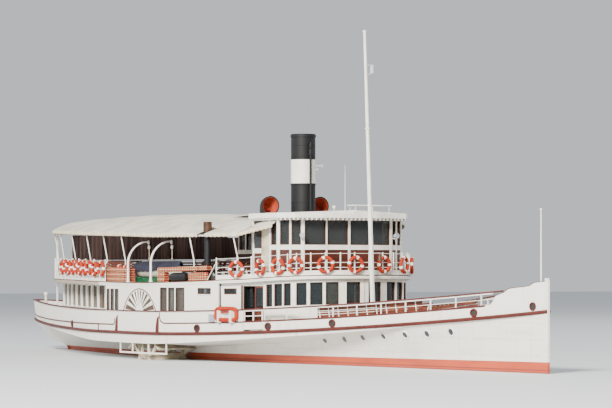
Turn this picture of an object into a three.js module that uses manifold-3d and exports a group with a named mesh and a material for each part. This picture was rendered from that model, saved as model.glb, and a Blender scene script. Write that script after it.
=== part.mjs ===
// One-tenth scale model of a lake paddle steamer, afloat. Millimetres of the model; +X points to
// the bow, +Y to port and +Z up. The origin is amidships, on the waterline and the centre plane.
import * as THREE from 'three';
import { mergeVertices } from 'three/addons/utils/BufferGeometryUtils.js';
import Module from 'manifold-3d';

const wasm = await Module();
wasm.setup();

// Driving dimensions
const GAP = 0.3; // clearance between pieces that touch
const BOW_X = 2332; // the fore end of the main deck
const STERN_X = -2294; // its after end
const STERN_RAKE = 30; // how far the bulwark's top leans out over it
const KEEL_Z = -145; // the depth of the keel below the water
const DECK_THICK = 10;
const STRAKE = { wide: 7.7, deep: 14 }; // the rubbing strake around the main deck
const RAIL_HIGH = 92; // the hand rail above the guard
const LOW_BULWARK_HIGH = 44; // the solid part under the open rail
const PLATE = 5; // bulwark and bulkhead plate
const WALL = 6; // deckhouse walls
const UPPER_THICK = 16; // the upper deck with its beams and fascia
const UPPER_RAIL_HIGH = 88;
const HOUSE = { aft: -433, fore: 488 }; // the sponson houses
const AFT_SALOON = { aft: -1480, inset: 60 };
const WHEEL = { x: -90, z: 131, radius: 168, inner: 298, outer: 480, floats: 9 };
const WELL = { half: 177, inner: 288, outer: 488 }; // the opening for each paddle wheel
const SHAFT_R = 11;
const FAN = { hubX: -90, hubZ: 203, hubR: 36, arcR: 170, slots: 10 };
const GATE = { aft: 645, fore: 765 };
const WHEELHOUSE = { aft: 556, chamfer: 776, front: 835, bow: 850, halfFront: 208, half: 290, top: 600 };
const CASING = { aft: 196, fore: 542, half: 170, top: 598 };
const FUNNEL = { x: 461, radius: 51.5, wall: 4, top: 957 };
const DAVIT = { y: 497, aft: -206, fore: 17, radius: 6, knee: 419, reach: 96 };
const DINGHY = { x: -118, y: 386, long: 410, half: 64, low: 346, high: 398 };
const MAST = { footX: 1050, headX: 979, headZ: 1357, footR: 10.5, headR: 5.5 };
const RUDDER = { x: -1892, length: 160, thick: 9, stockR: 6 };

// Paint and finish of each material, with roughness and metalness
const PAINT = {
  white: [0xf2efe6, 0.45, 0],
  red: [0xa8371f, 0.6, 0],
  brown: [0x6b2116, 0.45, 0],
  teak: [0x9b7b54, 0.7, 0],
  mahogany: [0x6a2c1a, 0.4, 0],
  black: [0x17181a, 0.45, 0],
  glass: [0x202a2c, 0.1, 0],
  canvas: [0xcfccc2, 0.85, 0],
  orange: [0xd8401c, 0.6, 0],
  cream: [0xe6dcc0, 0.6, 0],
  steel: [0x55585a, 0.5, 0.7],
};

// A smooth curve through the rows of a table whose first column is x.
function fair(rows, column) {
  const xs = rows.map((row) => row[0]);
  const ys = rows.map((row) => row[column]);
  const steps = xs.slice(1).map((x, i) => (ys[i + 1] - ys[i]) / (x - xs[i]));
  const slopes = xs.map((x, i) => {
    if (i === 0) return steps[0];
    if (i === xs.length - 1) return steps[i - 1];
    if (steps[i - 1] * steps[i] <= 0) return 0;
    return (2 * steps[i - 1] * steps[i]) / (steps[i - 1] + steps[i]);
  });
  return (x) => {
    const at = Math.min(Math.max(x, xs[0]), xs[xs.length - 1]);
    let i = 0;
    while (i < xs.length - 2 && at > xs[i + 1]) i += 1;
    const span = xs[i + 1] - xs[i];
    const t = (at - xs[i]) / span;
    const a = (1 + 2 * t) * (1 - t) ** 2 * ys[i] + t ** 2 * (3 - 2 * t) * ys[i + 1];
    return a + span * (t * (1 - t) ** 2 * slopes[i] - t ** 2 * (1 - t) * slopes[i + 1]);
  };
}

// Deck plan: x, half-breadth of the main deck's edge
const PLAN = [
  [STERN_X, 1], [-2275, 13], [-2200, 44], [-2100, 84], [-1900, 154], [-1500, 281], [-1000, 408],
  [-500, 496],
  [0, 500], [500, 414], [1000, 302], [1500, 183], [1900, 89], [2200, 24], [BOW_X, 1],
];
// Every deck and wall shares these stations, so that neighbouring faces match.
const STATIONS = [
  STERN_X, -2284, -2266, -2235, -2200, -2100, -2000, -1850, -1700, -1550, -1400, -1250, -1100, -950,
  -800, -650, -520, -400, -280, -160, -40, 80, 200, 320, 440, 560, 680, 800, 950, 1100, 1250, 1400,
  1550, 1700, 1850, 2000, 2100, 2200, 2270, 2310, BOW_X,
];
const between = (x0, x1) => [x0, ...STATIONS.filter((x) => x > x0 + 1 && x < x1 - 1), x1];

// Straight chords of a curve from one station to the next
function chords(curve) {
  const values = STATIONS.map(curve);
  return (x) => {
    let i = 0;
    while (i < STATIONS.length - 2 && x > STATIONS[i + 1]) i += 1;
    const t = (x - STATIONS[i]) / (STATIONS[i + 1] - STATIONS[i]);
    return values[i] + (values[i + 1] - values[i]) * t;
  };
}
const plan = chords(fair(PLAN, 1));

// Sheer: the height of the rubbing strake above the water
const guardZ = chords((x) => (x > 0 ? 114 + 116 * (x / 2340) ** 1.73 : 114 + 32 * (x / 2340) ** 2));
const deckTop = (x) => guardZ(x) + DECK_THICK / 2;
const deckUnder = (x) => guardZ(x) - DECK_THICK / 2;

// Upper deck: x, height of its top. It rises towards both ends.
const UPPER_SHEER = [
  [-2100, 347], [-1500, 345.5], [-900, 341], [-450, 334.5], [-150, 331], [160, 334.5], [415, 341],
  [650, 350], [830, 358], [1000, 366],
];
const upperTop = chords(fair(UPPER_SHEER, 1));
const upperUnder = (x) => upperTop(x) - UPPER_THICK;

// Solids and meshes
function solid(geometry) {
  const bare = geometry.clone();
  bare.deleteAttribute('normal');
  bare.deleteAttribute('uv');
  const merged = mergeVertices(bare, 1e-4);
  const vertProperties = new Float32Array(merged.attributes.position.array);
  const triVerts = new Uint32Array(merged.index.array);
  return new wasm.Manifold(new wasm.Mesh({ numProp: 3, vertProperties, triVerts }));
}
const join = (...parts) => parts.flat().reduce((a, b) => a.add(b));
const cut = (body, ...tools) => tools.flat().reduce((a, b) => a.subtract(b), body);

const SLIVER = 0.02; // edges shorter than this are closed up
function geometryOf(body) {
  const mesh = body.simplify(SLIVER).getMesh();
  const geometry = new THREE.BufferGeometry();
  const places = new Float32Array((mesh.vertProperties.length / mesh.numProp) * 3);
  for (let i = 0; i < places.length / 3; i += 1) {
    for (let k = 0; k < 3; k += 1) places[i * 3 + k] = mesh.vertProperties[i * mesh.numProp + k];
  }
  geometry.setAttribute('position', new THREE.BufferAttribute(places, 3));
  geometry.setIndex(new THREE.BufferAttribute(new Uint32Array(mesh.triVerts), 1));
  return geometry;
}

// A solid through closed loops of equal point counts, [x, y, z] each, with flat ends.
function loft(loops) {
  const count = loops[0].length;
  const corners = loops.flat();
  const faces = [];
  for (let i = 0; i < loops.length - 1; i += 1) {
    for (let k = 0; k < count; k += 1) {
      const a = i * count + k;
      const b = i * count + ((k + 1) % count);
      faces.push([a, b, b + count], [a, b + count, a + count]);
    }
  }
  for (const [first, turn] of [[0, true], [(loops.length - 1) * count, false]]) {
    for (const [a, b, c] of capOf(corners.slice(first, first + count))) {
      faces.push(turn ? [first + c, first + b, first + a] : [first + a, first + b, first + c]);
    }
  }
  if (volumeOf(corners, faces) < 0) faces.forEach((face) => face.reverse());
  const geometry = new THREE.BufferGeometry();
  geometry.setAttribute('position', new THREE.Float32BufferAttribute(corners.flat(), 3));
  geometry.setIndex(faces.flat());
  return solid(geometry);
}

// Triangles of a flat loop, in the loop's own turning sense.
function capOf(loop) {
  const normal = new THREE.Vector3();
  loop.forEach((p, i) => {
    const q = loop[(i + 1) % loop.length];
    normal.x += (p[1] - q[1]) * (p[2] + q[2]);
    normal.y += (p[2] - q[2]) * (p[0] + q[0]);
    normal.z += (p[0] - q[0]) * (p[1] + q[1]);
  });
  const size = [Math.abs(normal.x), Math.abs(normal.y), Math.abs(normal.z)];
  const drop = size.indexOf(Math.max(...size));
  const [u, v] = [[1, 2], [2, 0], [0, 1]][drop];
  const flat = loop.map((p) => new THREE.Vector2(p[u], p[v]));
  const forward = normal.getComponent(drop) > 0;
  return THREE.ShapeUtils.triangulateShape(flat, []).map((t) => orient(t, flat, forward));
}

function orient([a, b, c], flat, forward) {
  const area = (flat[b].x - flat[a].x) * (flat[c].y - flat[a].y)
    - (flat[c].x - flat[a].x) * (flat[b].y - flat[a].y);
  return (area > 0) === forward ? [a, b, c] : [a, c, b];
}

function volumeOf(corners, faces) {
  let total = 0;
  for (const [a, b, c] of faces) {
    const [p, q, r] = [corners[a], corners[b], corners[c]];
    total += p[0] * (q[1] * r[2] - q[2] * r[1]) + p[1] * (q[2] * r[0] - q[0] * r[2])
      + p[2] * (q[0] * r[1] - q[1] * r[0]);
  }
  return total;
}

// A box between two corners
function block(low, high) {
  const size = high.map((value, i) => value - low[i]);
  const geometry = new THREE.BoxGeometry(...size);
  geometry.translate(...high.map((value, i) => (value + low[i]) / 2));
  return solid(geometry);
}

// A round rod or cone between two points
function rod(from, to, radius, sides = 8, endRadius = radius) {
  const a = new THREE.Vector3(...from);
  const b = new THREE.Vector3(...to);
  const geometry = new THREE.CylinderGeometry(endRadius, radius, a.distanceTo(b), sides);
  const up = new THREE.Vector3(0, 1, 0);
  const along = b.clone().sub(a).normalize();
  geometry.applyQuaternion(new THREE.Quaternion().setFromUnitVectors(up, along));
  geometry.translate(...a.add(b).multiplyScalar(0.5).toArray());
  return solid(geometry);
}

// A flat outline in the XZ plane, [x, z] each, thickened from y = a to y = b
function sidePlate(outline, a, b) {
  return loft([a, b].map((y) => outline.map(([x, z]) => [x, y, z])));
}

// A round bar bent along a path of points, with its radius at each point
function bent(path, radii, sides = 8) {
  const points = path.map((p) => new THREE.Vector3(...p));
  const aside = points[2].clone().sub(points[1]).cross(points[1].clone().sub(points[0]));
  if (aside.length() < 1e-6) aside.set(0, 1, 0);
  aside.normalize();
  return loft(points.map((p, i) => {
    const ahead = points[Math.min(i + 1, points.length - 1)].clone();
    const along = ahead.sub(points[Math.max(i - 1, 0)]).normalize();
    const across = aside.clone().cross(along).normalize();
    return Array.from({ length: sides }, (_, k) => {
      const turn = ((k + 0.5) * 2 * Math.PI) / sides;
      const out = aside.clone().multiplyScalar(Math.cos(turn) * radii[i]);
      return p.clone().add(out).addScaledVector(across, Math.sin(turn) * radii[i]).toArray();
    });
  }));
}

const mirrored = (body) => body.mirror([0, 1, 0]);

// A path of [x, y] points shifted to its right-hand side by a distance
function shifted(path, distance) {
  const rights = path.slice(1).map((q, i) => {
    const [dx, dy] = [q[0] - path[i][0], q[1] - path[i][1]];
    const size = Math.hypot(dx, dy);
    return [dy / size, -dx / size];
  });
  return path.map((p, i) => {
    const a = rights[Math.max(i - 1, 0)];
    const b = rights[Math.min(i, rights.length - 1)];
    const scale = distance / (1 + a[0] * b[0] + a[1] * b[1]);
    return [p[0] + (a[0] + b[0]) * scale, p[1] + (a[1] + b[1]) * scale];
  });
}

// A wall standing along a path: from near to far to the right of it, between two heights
function strip(path, near, far, under, over) {
  const inner = shifted(path, near);
  const outer = shifted(path, far);
  return loft(path.map(([x, y], i) => {
    const low = under(x, y);
    const high = over(x, y);
    return [[...outer[i], low], [...outer[i], high], [...inner[i], high], [...inner[i], low]];
  }));
}

// Part of a path between two distances along it
function portion(path, from, to) {
  const out = [];
  let run = 0;
  for (let i = 0; i < path.length - 1; i += 1) {
    const [p, q] = [path[i], path[i + 1]];
    const size = Math.hypot(q[0] - p[0], q[1] - p[1]);
    const at = (s) => [0, 1].map((k) => p[k] + ((q[k] - p[k]) * (s - run)) / size);
    if (from >= run && from < run + size) out.push(at(from));
    if (run > from && run < to) out.push(p);
    if (to > run && to <= run + size) out.push(at(to));
    run += size;
  }
  return out;
}
const lengthOf = (path) => path.slice(1).reduce(
  (sum, q, i) => sum + Math.hypot(q[0] - path[i][0], q[1] - path[i][1]), 0);

// An opening through a wall on a path, between two distances and two heights, each a number or a
// function of x
const levelOf = (height) => (typeof height === 'function' ? height : () => height);
function opening(path, from, to, low, high) {
  return strip(portion(path, from, to), -25, 12, levelOf(low), levelOf(high));
}

// The distance along a path where it first reaches x
function distanceTo(path, x) {
  let run = 0;
  for (let i = 0; i < path.length - 1; i += 1) {
    const [p, q] = [path[i], path[i + 1]];
    const size = Math.hypot(q[0] - p[0], q[1] - p[1]);
    if ((p[0] - x) * (q[0] - x) <= 0 && p[0] !== q[0]) {
      return run + (size * (x - p[0])) / (q[0] - p[0]);
    }
    run += size;
  }
  return run;
}

// The deck's edge on the starboard side from x0 to x1, forward, pulled in by inset
const edge = (x0, x1, inset = 0) => between(x0, x1).map((x) => [x, -(plan(x) - inset)]);
const toPort = (path) => path.map(([x, y]) => [x, -y]).reverse();
const aroundBow = (path) => [...path, ...toPort(path).slice(1)];
const aroundStern = (path) => [...toPort(path), ...path];

// A deck-shaped slab: sections across the ship at each x of a list
function slab(xs, half, under, over) {
  return loft(xs.map((x) => {
    const b = half(x);
    return [[x, -b, under(x)], [x, b, under(x)], [x, b, over(x)], [x, -b, over(x)]];
  }));
}
const everywhere = [STERN_X - 40, ...STATIONS, BOW_X + 40];
const past = (curve) => (x) => curve(Math.min(Math.max(x, STERN_X), BOW_X));

// What stands on the main deck is cut off just above it, and what hangs under a deck just below it.
const FAR = 900;
const onDeck = (body) => cut(body, slab(everywhere, () => FAR, () => -FAR, past((x) => deckTop(x) + GAP)));
const belowDeck = (body) => cut(body, slab(everywhere, () => FAR, past((x) => deckUnder(x) - GAP), () => FAR));
const onUpper = (body) => cut(body, slab(everywhere, () => FAR, () => -FAR, past((x) => upperTop(x) + GAP)));
const belowUpper = (body) => cut(body, slab(everywhere, () => FAR, past((x) => upperUnder(x) - GAP), () => FAR));
const HIGH = () => 400;
const LOW = () => 60;
const UPPER_LOW = 300; // below the upper deck's top everywhere

const parts = [];
function add(name, paint, body) {
  parts.push([name, paint, body]);
  return body;
}

// Hull: sections with x, keel z, half-breadth and height of the widest low point, half-breadth
// at the deck, and fullness of the bottom
const HULL = [
  [-2284, 124, 128, 6, 10, 1.6],
  [-2200, 104, 112, 24, 38, 1.6],
  [-2100, 74, 84, 36, 78, 1.6],
  [-2000, 42, 54, 42, 114, 1.6],
  [-1886, 10, 22, 22, 154, 1.6],
  [-1882, KEEL_Z, 0, 5, 155, 1.2],
  [-1780, KEEL_Z, 0, 30, 186, 1.25],
  [-1500, KEEL_Z, 0, 84, 236, 1.35],
  [-1000, KEEL_Z, 0, 176, 268, 1.8],
  [-500, KEEL_Z, 0, 248, 276, 2.6],
  [0, KEEL_Z, 0, 272, 281, 3.2],
  [500, KEEL_Z, 0, 230, 262, 2.6],
  [1000, KEEL_Z, 0, 158, 222, 1.9],
  [1500, KEEL_Z, 0, 98, 176, 1.5],
  [1900, KEEL_Z, 0, 50, 86, 1.35],
  [2200, -135, 0, 15, 22, 1.25],
  [2310, -110, 0, 5, 6, 1.2],
  [2331, -84, 0, 3, 3.5, 1.2],
];
const BOTTOM_STEPS = [0, 0.06, 0.2, 0.42, 0.7, 1];
const TOPSIDE_STEPS = [0.27, 0.6, 1];

// One side of a section, from the keel up to above the deck, closed just past the centre plane
function hullSection([x, keel, lowZ, low, top, fullness], grow) {
  const side = BOTTOM_STEPS.map((t) => {
    const y = 4 + (low - 4) * (1 - (1 - t) ** fullness) ** (1 / fullness);
    return [x, -Math.max(y, 2) - grow, keel - grow + (lowZ - keel + grow) * t];
  });
  const deck = deckTop(x);
  for (const t of TOPSIDE_STEPS) {
    side.push([x, -(low + (top - low) * t ** 1.4 + grow), lowZ + (deck - lowZ) * t]);
  }
  return [[x, 1, keel - grow], ...side, [x, 1, deck]];
}
function hullSolid(grow) {
  const starboard = loft(HULL.map((row) => hullSection(row, grow)));
  return join(starboard, mirrored(starboard));
}

// Engine and boiler: plain blocks with the steam pipe between them, in a well of the hull
const MACHINERY = [
  // low corner, high corner
  [[-420, -105, -95], [-40, 105, 96]],
  [[-60, -30, 40], [170, 30, 90]],
  [[150, -125, -105], [520, 125, 96]],
];
const wells = MACHINERY.map(([low, high]) => block(low.map((v) => v - 2), [high[0] + 2, high[1] + 2, 200]));
const stockHole = rod([RUDDER.x, 0, -20], [RUDDER.x, 0, 80], RUDDER.stockR + 1, 12);
add('hull', 'red', cut(belowDeck(hullSolid(0)), wells, stockHole));
add('engine_and_boiler', 'steel', join(MACHINERY.map(([low, high]) => block(low, high))));

// Main deck, with an opening for each paddle wheel
const wellTool = block([WHEEL.x - WELL.half, -WELL.outer, -50], [WHEEL.x + WELL.half, -WELL.inner, 160]);
const wellTools = [wellTool, mirrored(wellTool)];
add('main_deck', 'teak', cut(slab(STATIONS, plan, deckUnder, deckTop), wellTools));

// Rubbing strake around the deck's edge
const strake = (out, reach, half) => slab([STERN_X - reach, ...STATIONS.slice(1, -1), BOW_X + reach],
  (x) => past(plan)(x) + out, (x) => past(guardZ)(x) - half, (x) => past(guardZ)(x) + half);
add('guard_strake', 'brown', cut(
  strake(STRAKE.wide, 8, STRAKE.deep / 2), strake(GAP, GAP, 30), hullSolid(GAP)));

// Sponsons: x, depth of the apron under the deck, how far the bottom slopes down inboard
const SPONSON = [
  [-1560, 5, 4], [-1250, 12, 26], [-900, 24, 40], [-450, 36, 34], [0, 37, 30], [450, 26, 34],
  [900, 15, 40], [1250, 9, 26], [1560, 5, 4],
];
const apronDepth = fair(SPONSON, 1);
const apronSlope = fair(SPONSON, 2);
const sponsonLoops = between(-1560, 1560).map((x) => {
  const [apron, slope] = [apronDepth(x), apronSlope(x)];
  const top = deckUnder(x) - GAP;
  const y = plan(x) - 1;
  return [[x, -y, top], [x, -y, top - apron], [x, -60, top - apron - slope], [x, 60, top - apron - slope],
    [x, y, top - apron], [x, y, top]];
});
const portHalf = block([-3000, 0, -500], [3000, 900, 500]);
const starboardSponson = cut(loft(sponsonLoops), hullSolid(GAP), wellTools, portHalf);

// Wheel guard: posts that hang under the apron outside the wheel, with a foot bar
const guardPost = (x) => {
  const y = -(plan(x) - 5);
  return block([x - 2.5, y - 2.5, 28], [x + 2.5, y + 2.5, deckUnder(x) - 36]);
};
const guardBar = strip(edge(-292, 142, 5), -2.5, 2.5, () => 26, () => 33);
const wheelGuard = join(guardBar, [-288, -165, -10, 138].map(guardPost));

// One side of the ship is made to starboard, and the other is its mirror image.
function both(name, paint, body) {
  add(`${name}_starboard`, paint, body);
  add(`${name}_port`, paint, mirrored(body));
}

both('sponson', 'white', join(starboardSponson, wheelGuard));

// Paddle box: an arched cover with its inner wall, over the wheel
const archOut = WELL.half + 3.6;
const arch = (radius, low) => {
  const turns = Array.from({ length: 17 }, (_, i) => (Math.PI * i) / 16);
  const top = turns.map((a) => [WHEEL.x + radius * Math.cos(a), WHEEL.z + radius * Math.sin(a)]);
  return [...top, [WHEEL.x - radius, low], [WHEEL.x + radius, low]];
};
const boxFloor = deckTop(WHEEL.x) + 1.2;
const cover = cut(sidePlate(arch(archOut, boxFloor), -484, -WELL.inner + 2),
  sidePlate(arch(WELL.half - 1, boxFloor - 9), -493, -WELL.inner));
const innerWall = block([WHEEL.x - archOut, -WELL.inner, boxFloor], [WHEEL.x + archOut, -WELL.inner + 6, 311.5]);
const bearing = block([WHEEL.x - 24, -WELL.inner + 5, boxFloor], [WHEEL.x + 24, -246, WHEEL.z + 24]);
const shaftHole = rod([WHEEL.x, -600, WHEEL.z], [WHEEL.x, 0, WHEEL.z], SHAFT_R + 0.6, 16);
both('paddle_box', 'white', cut(join(cover, innerWall, bearing), shaftHole));

// Sponson house: the side flush with the deck's edge, and the end wall to the after saloon
const houseSide = [[HOUSE.aft, -(plan(HOUSE.aft) - AFT_SALOON.inset)], ...edge(HOUSE.aft, HOUSE.fore)];
const HOUSE_PANES = [
  // from x, to x, low z, high z
  [-425, -391, 208, 303], [-385, -346, 208, 303], [-340, -299, 208, 303],
  [97, 150, 211, 310], [157, 204, 211, 310], [211, 271, 211, 310], [355, 440, 283, 309],
];
const alongHouse = (x) => AFT_SALOON.inset + distanceTo(houseSide.slice(1), x);
const houseCuts = HOUSE_PANES.map(([x0, x1, low, high]) => opening(
  houseSide, alongHouse(x0), alongHouse(x1), low, high));

// Fan vent: slots in the house side that spread from a hub inside an arc
function fanSlot(index) {
  const pitch = Math.PI / FAN.slots;
  const rise = FAN.hubZ - WHEEL.z;
  const points = [[0.22, 0], [0.78, 0], [0.78, 1], [0.22, 1]].map(([turn, outer]) => {
    const a = pitch * (index + turn);
    const toArc = Math.sqrt((rise * Math.sin(a)) ** 2 + FAN.arcR ** 2 - rise ** 2) - rise * Math.sin(a);
    const reach = outer ? toArc - 6 : FAN.hubR;
    return [FAN.hubX + reach * Math.cos(a), FAN.hubZ + 3 + reach * Math.sin(a)];
  });
  return sidePlate(points, -600, -400);
}
const fanSlots = Array.from({ length: FAN.slots }, (_, i) => fanSlot(i));
const houseWall = belowUpper(onDeck(strip(houseSide, -WALL, 0, LOW, HIGH)));

// Forward of the house, a full-height bulwark runs on to the boarding gate.
const full = (x) => guardZ(x) + RAIL_HIGH;
const sideBulwark = onDeck(strip(edge(HOUSE.fore - 2, GATE.aft - 1), -PLATE - 0.5, -0.5, LOW, full));
both('sponson_house', 'white', join(cut(houseWall, houseCuts, fanSlots), sideBulwark));

// Upper deck's edge: flush with the guard aft, turned in past the sponson houses, round in front
const FRONT = { x: 670, half: 336, reach: 328, power: 2.3 };
function roundFront(count) {
  return Array.from({ length: count + 1 }, (_, i) => {
    const a = (Math.PI * (i + 0.35)) / (2 * (count + 0.35));
    const across = i === count ? 0 : Math.cos(a) ** (2 / FRONT.power);
    return [FRONT.x + FRONT.reach * Math.sin(a) ** (2 / FRONT.power), -FRONT.half * across];
  });
}
const turnedIn = [[HOUSE.fore + 2, -plan(HOUSE.fore + 2)], [590, -350], [FRONT.x, -FRONT.half],
  ...roundFront(8)];
// Aft it draws in from the guard to a narrow end over the quarterdeck.
const UPPER_END = [
  // x, half-breadth
  [-2030, 20], [-2000, 40], [-1850, 107.5], [-1700, 175], [-1550, 240.5], [-1400, 303],
];
const upperEnd = UPPER_END.map(([x, half]) => [x, -half]);
const upperEdge = [...upperEnd, ...edge(-1250, HOUSE.fore - 18), ...turnedIn];
const upperLoops = upperEdge.map(([x, y]) => {
  const half = Math.max(-y, 0.5);
  return [[x, -half, upperUnder(x)], [x, half, upperUnder(x)], [x, half, upperTop(x)], [x, -half, upperTop(x)]];
});
add('upper_deck', 'white', loft(upperLoops));

// Fore saloon: the D-shaped wall under the upper deck's front, with its windows and doors
const saloonSide = shifted(aroundBow(turnedIn), -22);
const saloonRun = lengthOf(saloonSide);
const SALOON_PANES = [
  // from, to, along the wall from its after end on the starboard side
  [258, 303], [313, 359], [367, 401], [425, 470], [484, 535], [548, 601], [634, 695],
];
const SALOON_FRONT = { low: (x) => upperTop(x) - 120, high: (x) => upperTop(x) - 29 };
const FORE_DOOR = { from: 104, to: 240, low: 150, high: 318, thick: 4 };
const saloonWall = belowUpper(onDeck(strip(saloonSide, -WALL, 0, LOW, HIGH)));
const saloonCuts = [...SALOON_PANES, ...SALOON_PANES.map(([a, b]) => [saloonRun - b, saloonRun - a])]
  .map(([a, b]) => opening(saloonSide, a, b, SALOON_FRONT.low, SALOON_FRONT.high));
const smallPanes = [[14, 74], [saloonRun - 74, saloonRun - 14]]
  .map(([a, b]) => opening(saloonSide, a, b, 283, 308));
const doorHoles = [[FORE_DOOR.from, FORE_DOOR.to], [saloonRun - FORE_DOOR.to, saloonRun - FORE_DOOR.from]]
  .map(([a, b]) => opening(saloonSide, a, b, FORE_DOOR.low, FORE_DOOR.high));
add('fore_saloon_walls', 'white', cut(saloonWall, saloonCuts, smallPanes, doorHoles));
const saloonGlassSide = portion(saloonSide, 250, saloonRun - 250);
add('fore_saloon_glass', 'glass', strip(saloonGlassSide, -WALL - GAP - 1.2, -WALL - GAP,
  (x) => SALOON_FRONT.low(x) - 6, (x) => SALOON_FRONT.high(x) + 4));

// Aft saloon: inboard of the guard, with a row of windows each side and a door aft
const aftSide = edge(AFT_SALOON.aft, HOUSE.aft - 1, AFT_SALOON.inset);
const aftPath = aroundStern(aftSide);
const aftRun = lengthOf(aftPath);
const aftSideRun = lengthOf(aftSide);
const AFT_WINDOWS = {
  count: 9, low: (x) => upperUnder(x) - 106, high: (x) => upperUnder(x) - 6, margin: 30, post: 16,
};
const aftPitch = (aftSideRun - 2 * AFT_WINDOWS.margin) / AFT_WINDOWS.count;
const aftPanes = Array.from({ length: AFT_WINDOWS.count }, (_, i) => {
  const start = AFT_WINDOWS.margin + i * aftPitch + AFT_WINDOWS.post / 2;
  return [start, start + aftPitch - AFT_WINDOWS.post];
});
const aftCuts = [...aftPanes, ...aftPanes.map(([a, b]) => [aftRun - b, aftRun - a])]
  .map(([a, b]) => opening(aftPath, a, b, AFT_WINDOWS.low, AFT_WINDOWS.high));
const AFT_DOOR = { half: 40, low: 150, high: 311, thick: 4 };
const aftDoorHole = block([AFT_SALOON.aft - 20, -AFT_DOOR.half, AFT_DOOR.low],
  [AFT_SALOON.aft + 20, AFT_DOOR.half, AFT_DOOR.high]);
const aftWall = belowUpper(onDeck(strip(aftPath, -WALL, 0, LOW, HIGH)));
add('aft_saloon_walls', 'white', cut(aftWall, aftCuts, aftDoorHole));
const PANE = 1.2;
const paneFar = -WALL - GAP - PANE;
const aftBand = strip(portion(aftPath, 12, aftRun - 12), paneFar, -WALL - GAP,
  (x) => AFT_WINDOWS.low(x) - 6, (x) => AFT_WINDOWS.high(x) + 4.5);
const overDoor = block([AFT_SALOON.aft - 2, -AFT_DOOR.half - 8, 100],
  [AFT_SALOON.aft + 20, AFT_DOOR.half + 8, AFT_DOOR.high + 1]);
add('aft_saloon_glass', 'glass', cut(aftBand, overDoor));
add('aft_saloon_door', 'mahogany', block(
  [AFT_SALOON.aft + 1, -AFT_DOOR.half + 1, AFT_DOOR.low + 1],
  [AFT_SALOON.aft + 1 + AFT_DOOR.thick, AFT_DOOR.half - 1, AFT_DOOR.high - 1]));

// Saloon side doors: the after leaf stands open inboard, the fore leaf is shut
const doorMiddle = (FORE_DOOR.from + FORE_DOOR.to) / 2;
const doorLeaf = (from, to) => strip(portion(saloonSide, from, to), -5, -1,
  () => FORE_DOOR.low + 1, () => FORE_DOOR.high - 1);
const hingePoint = shifted(portion(saloonSide, FORE_DOOR.from + 1, FORE_DOOR.from + 9), -WALL)[0];
const OPEN_TURN = 80;
function turnedAbout(body, [x, y], degrees) {
  return body.translate([-x, -y, 0]).rotate([0, 0, degrees]).translate([x, y, 0]);
}
both('saloon_door_aft', 'mahogany', turnedAbout(
  doorLeaf(FORE_DOOR.from + 1, doorMiddle - 0.5), hingePoint, OPEN_TURN));
both('saloon_door_fore', 'mahogany', doorLeaf(doorMiddle + 0.5, FORE_DOOR.to - 1));

// Bulwarks. The low one runs forward from the gates and rises at the bow to the stem head.
const BOW_TOP = [
  // x, z of the top
  [1990, 243], [2032, 254], [2054, 284], [2096, 297], [2123, 312], [2229, 323], [2260, 335], [2332, 341],
];
const bowTop = fair(BOW_TOP, 1);
const foreTop = (x) => (x > BOW_TOP[0][0] ? bowTop(x) : guardZ(x) + LOW_BULWARK_HIGH);
const bowXs = BOW_TOP.map(([x]) => x);
const foreXs = [...between(GATE.fore + 1, 2329), 1990, 2032, 2044, 2054, 2096, 2123, 2229, 2260]
  .sort((a, b) => a - b).filter((x, i, all) => i === 0 || x - all[i - 1] > 5);
const foreSlab = slab(foreXs, (x) => plan(x) - 0.5, LOW, foreTop);
const foreRoom = slab([GATE.fore - 50, ...foreXs.slice(1, -2), 2296], (x) => plan(x) - 0.5 - PLATE, () => 0, HIGH);
const stemPost = block([2316, -5, 239], [2331, 5, 352]);
const jackstaff = rod([2284, 0, 328], [2284, 0, 611], 3.2, 8, 2);
const breastPlate = slab([2256, 2270, 2322], (x) => plan(x) - 1.5, () => 324, () => 331);
add('fore_bulwark', 'white', onDeck(join(cut(foreSlab, foreRoom), stemPost, breastPlate, jackstaff)));

const aftXs = between(STERN_X + 3, HOUSE.aft - 1);
const aftUpright = onDeck(cut(
  slab(aftXs, (x) => plan(x) - 0.5, LOW, full),
  slab([STERN_X + 16, ...aftXs.slice(2, -1), HOUSE.aft + 40], (x) => plan(x) - 0.5 - PLATE, () => 0, HIGH)));
const RAKE_FROM = -2150; // forward of this the after bulwark stands upright
add('aft_bulwark', 'white', aftUpright.warp((corner) => {
  const aft = Math.max((RAKE_FROM - corner[0]) / (RAKE_FROM - STERN_X), 0);
  const up = Math.max((corner[2] - deckTop(Math.max(corner[0], STERN_X))) / RAIL_HIGH, 0);
  corner[0] -= STERN_RAKE * aft * up;
}));

// Open rail on the foredeck: stanchions on the low bulwark, a middle bar and the hand rail
const RAIL_END = 2040;
const railLine = edge(GATE.fore + 4, RAIL_END, 0.5 + PLATE / 2);
const bar = (path, half, z0, z1) => strip(path, -half, half, (x) => guardZ(x) + z0, (x) => guardZ(x) + z1);
const railPosts = Array.from({ length: 10 }, (_, i) => {
  const x = GATE.fore + 8 + ((RAIL_END - 70 - GATE.fore) * i) / 9;
  const y = -(plan(x) - 0.5 - PLATE / 2);
  return block([x - 2.2, y - 2.2, guardZ(x) + LOW_BULWARK_HIGH + 1.2], [x + 2.2, y + 2.2, guardZ(x) + RAIL_HIGH - 3]);
});
const foreKeepOut = slab(foreXs, (x) => plan(x) + 2, LOW, (x) => foreTop(x) + GAP);
both('fore_rail', 'white', cut(join(bar(railLine, 3.5, RAIL_HIGH - 5, RAIL_HIGH), railPosts,
  bar(railLine, 2.6, LOW_BULWARK_HIGH - 2, LOW_BULWARK_HIGH + 3.4)), foreKeepOut));

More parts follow.
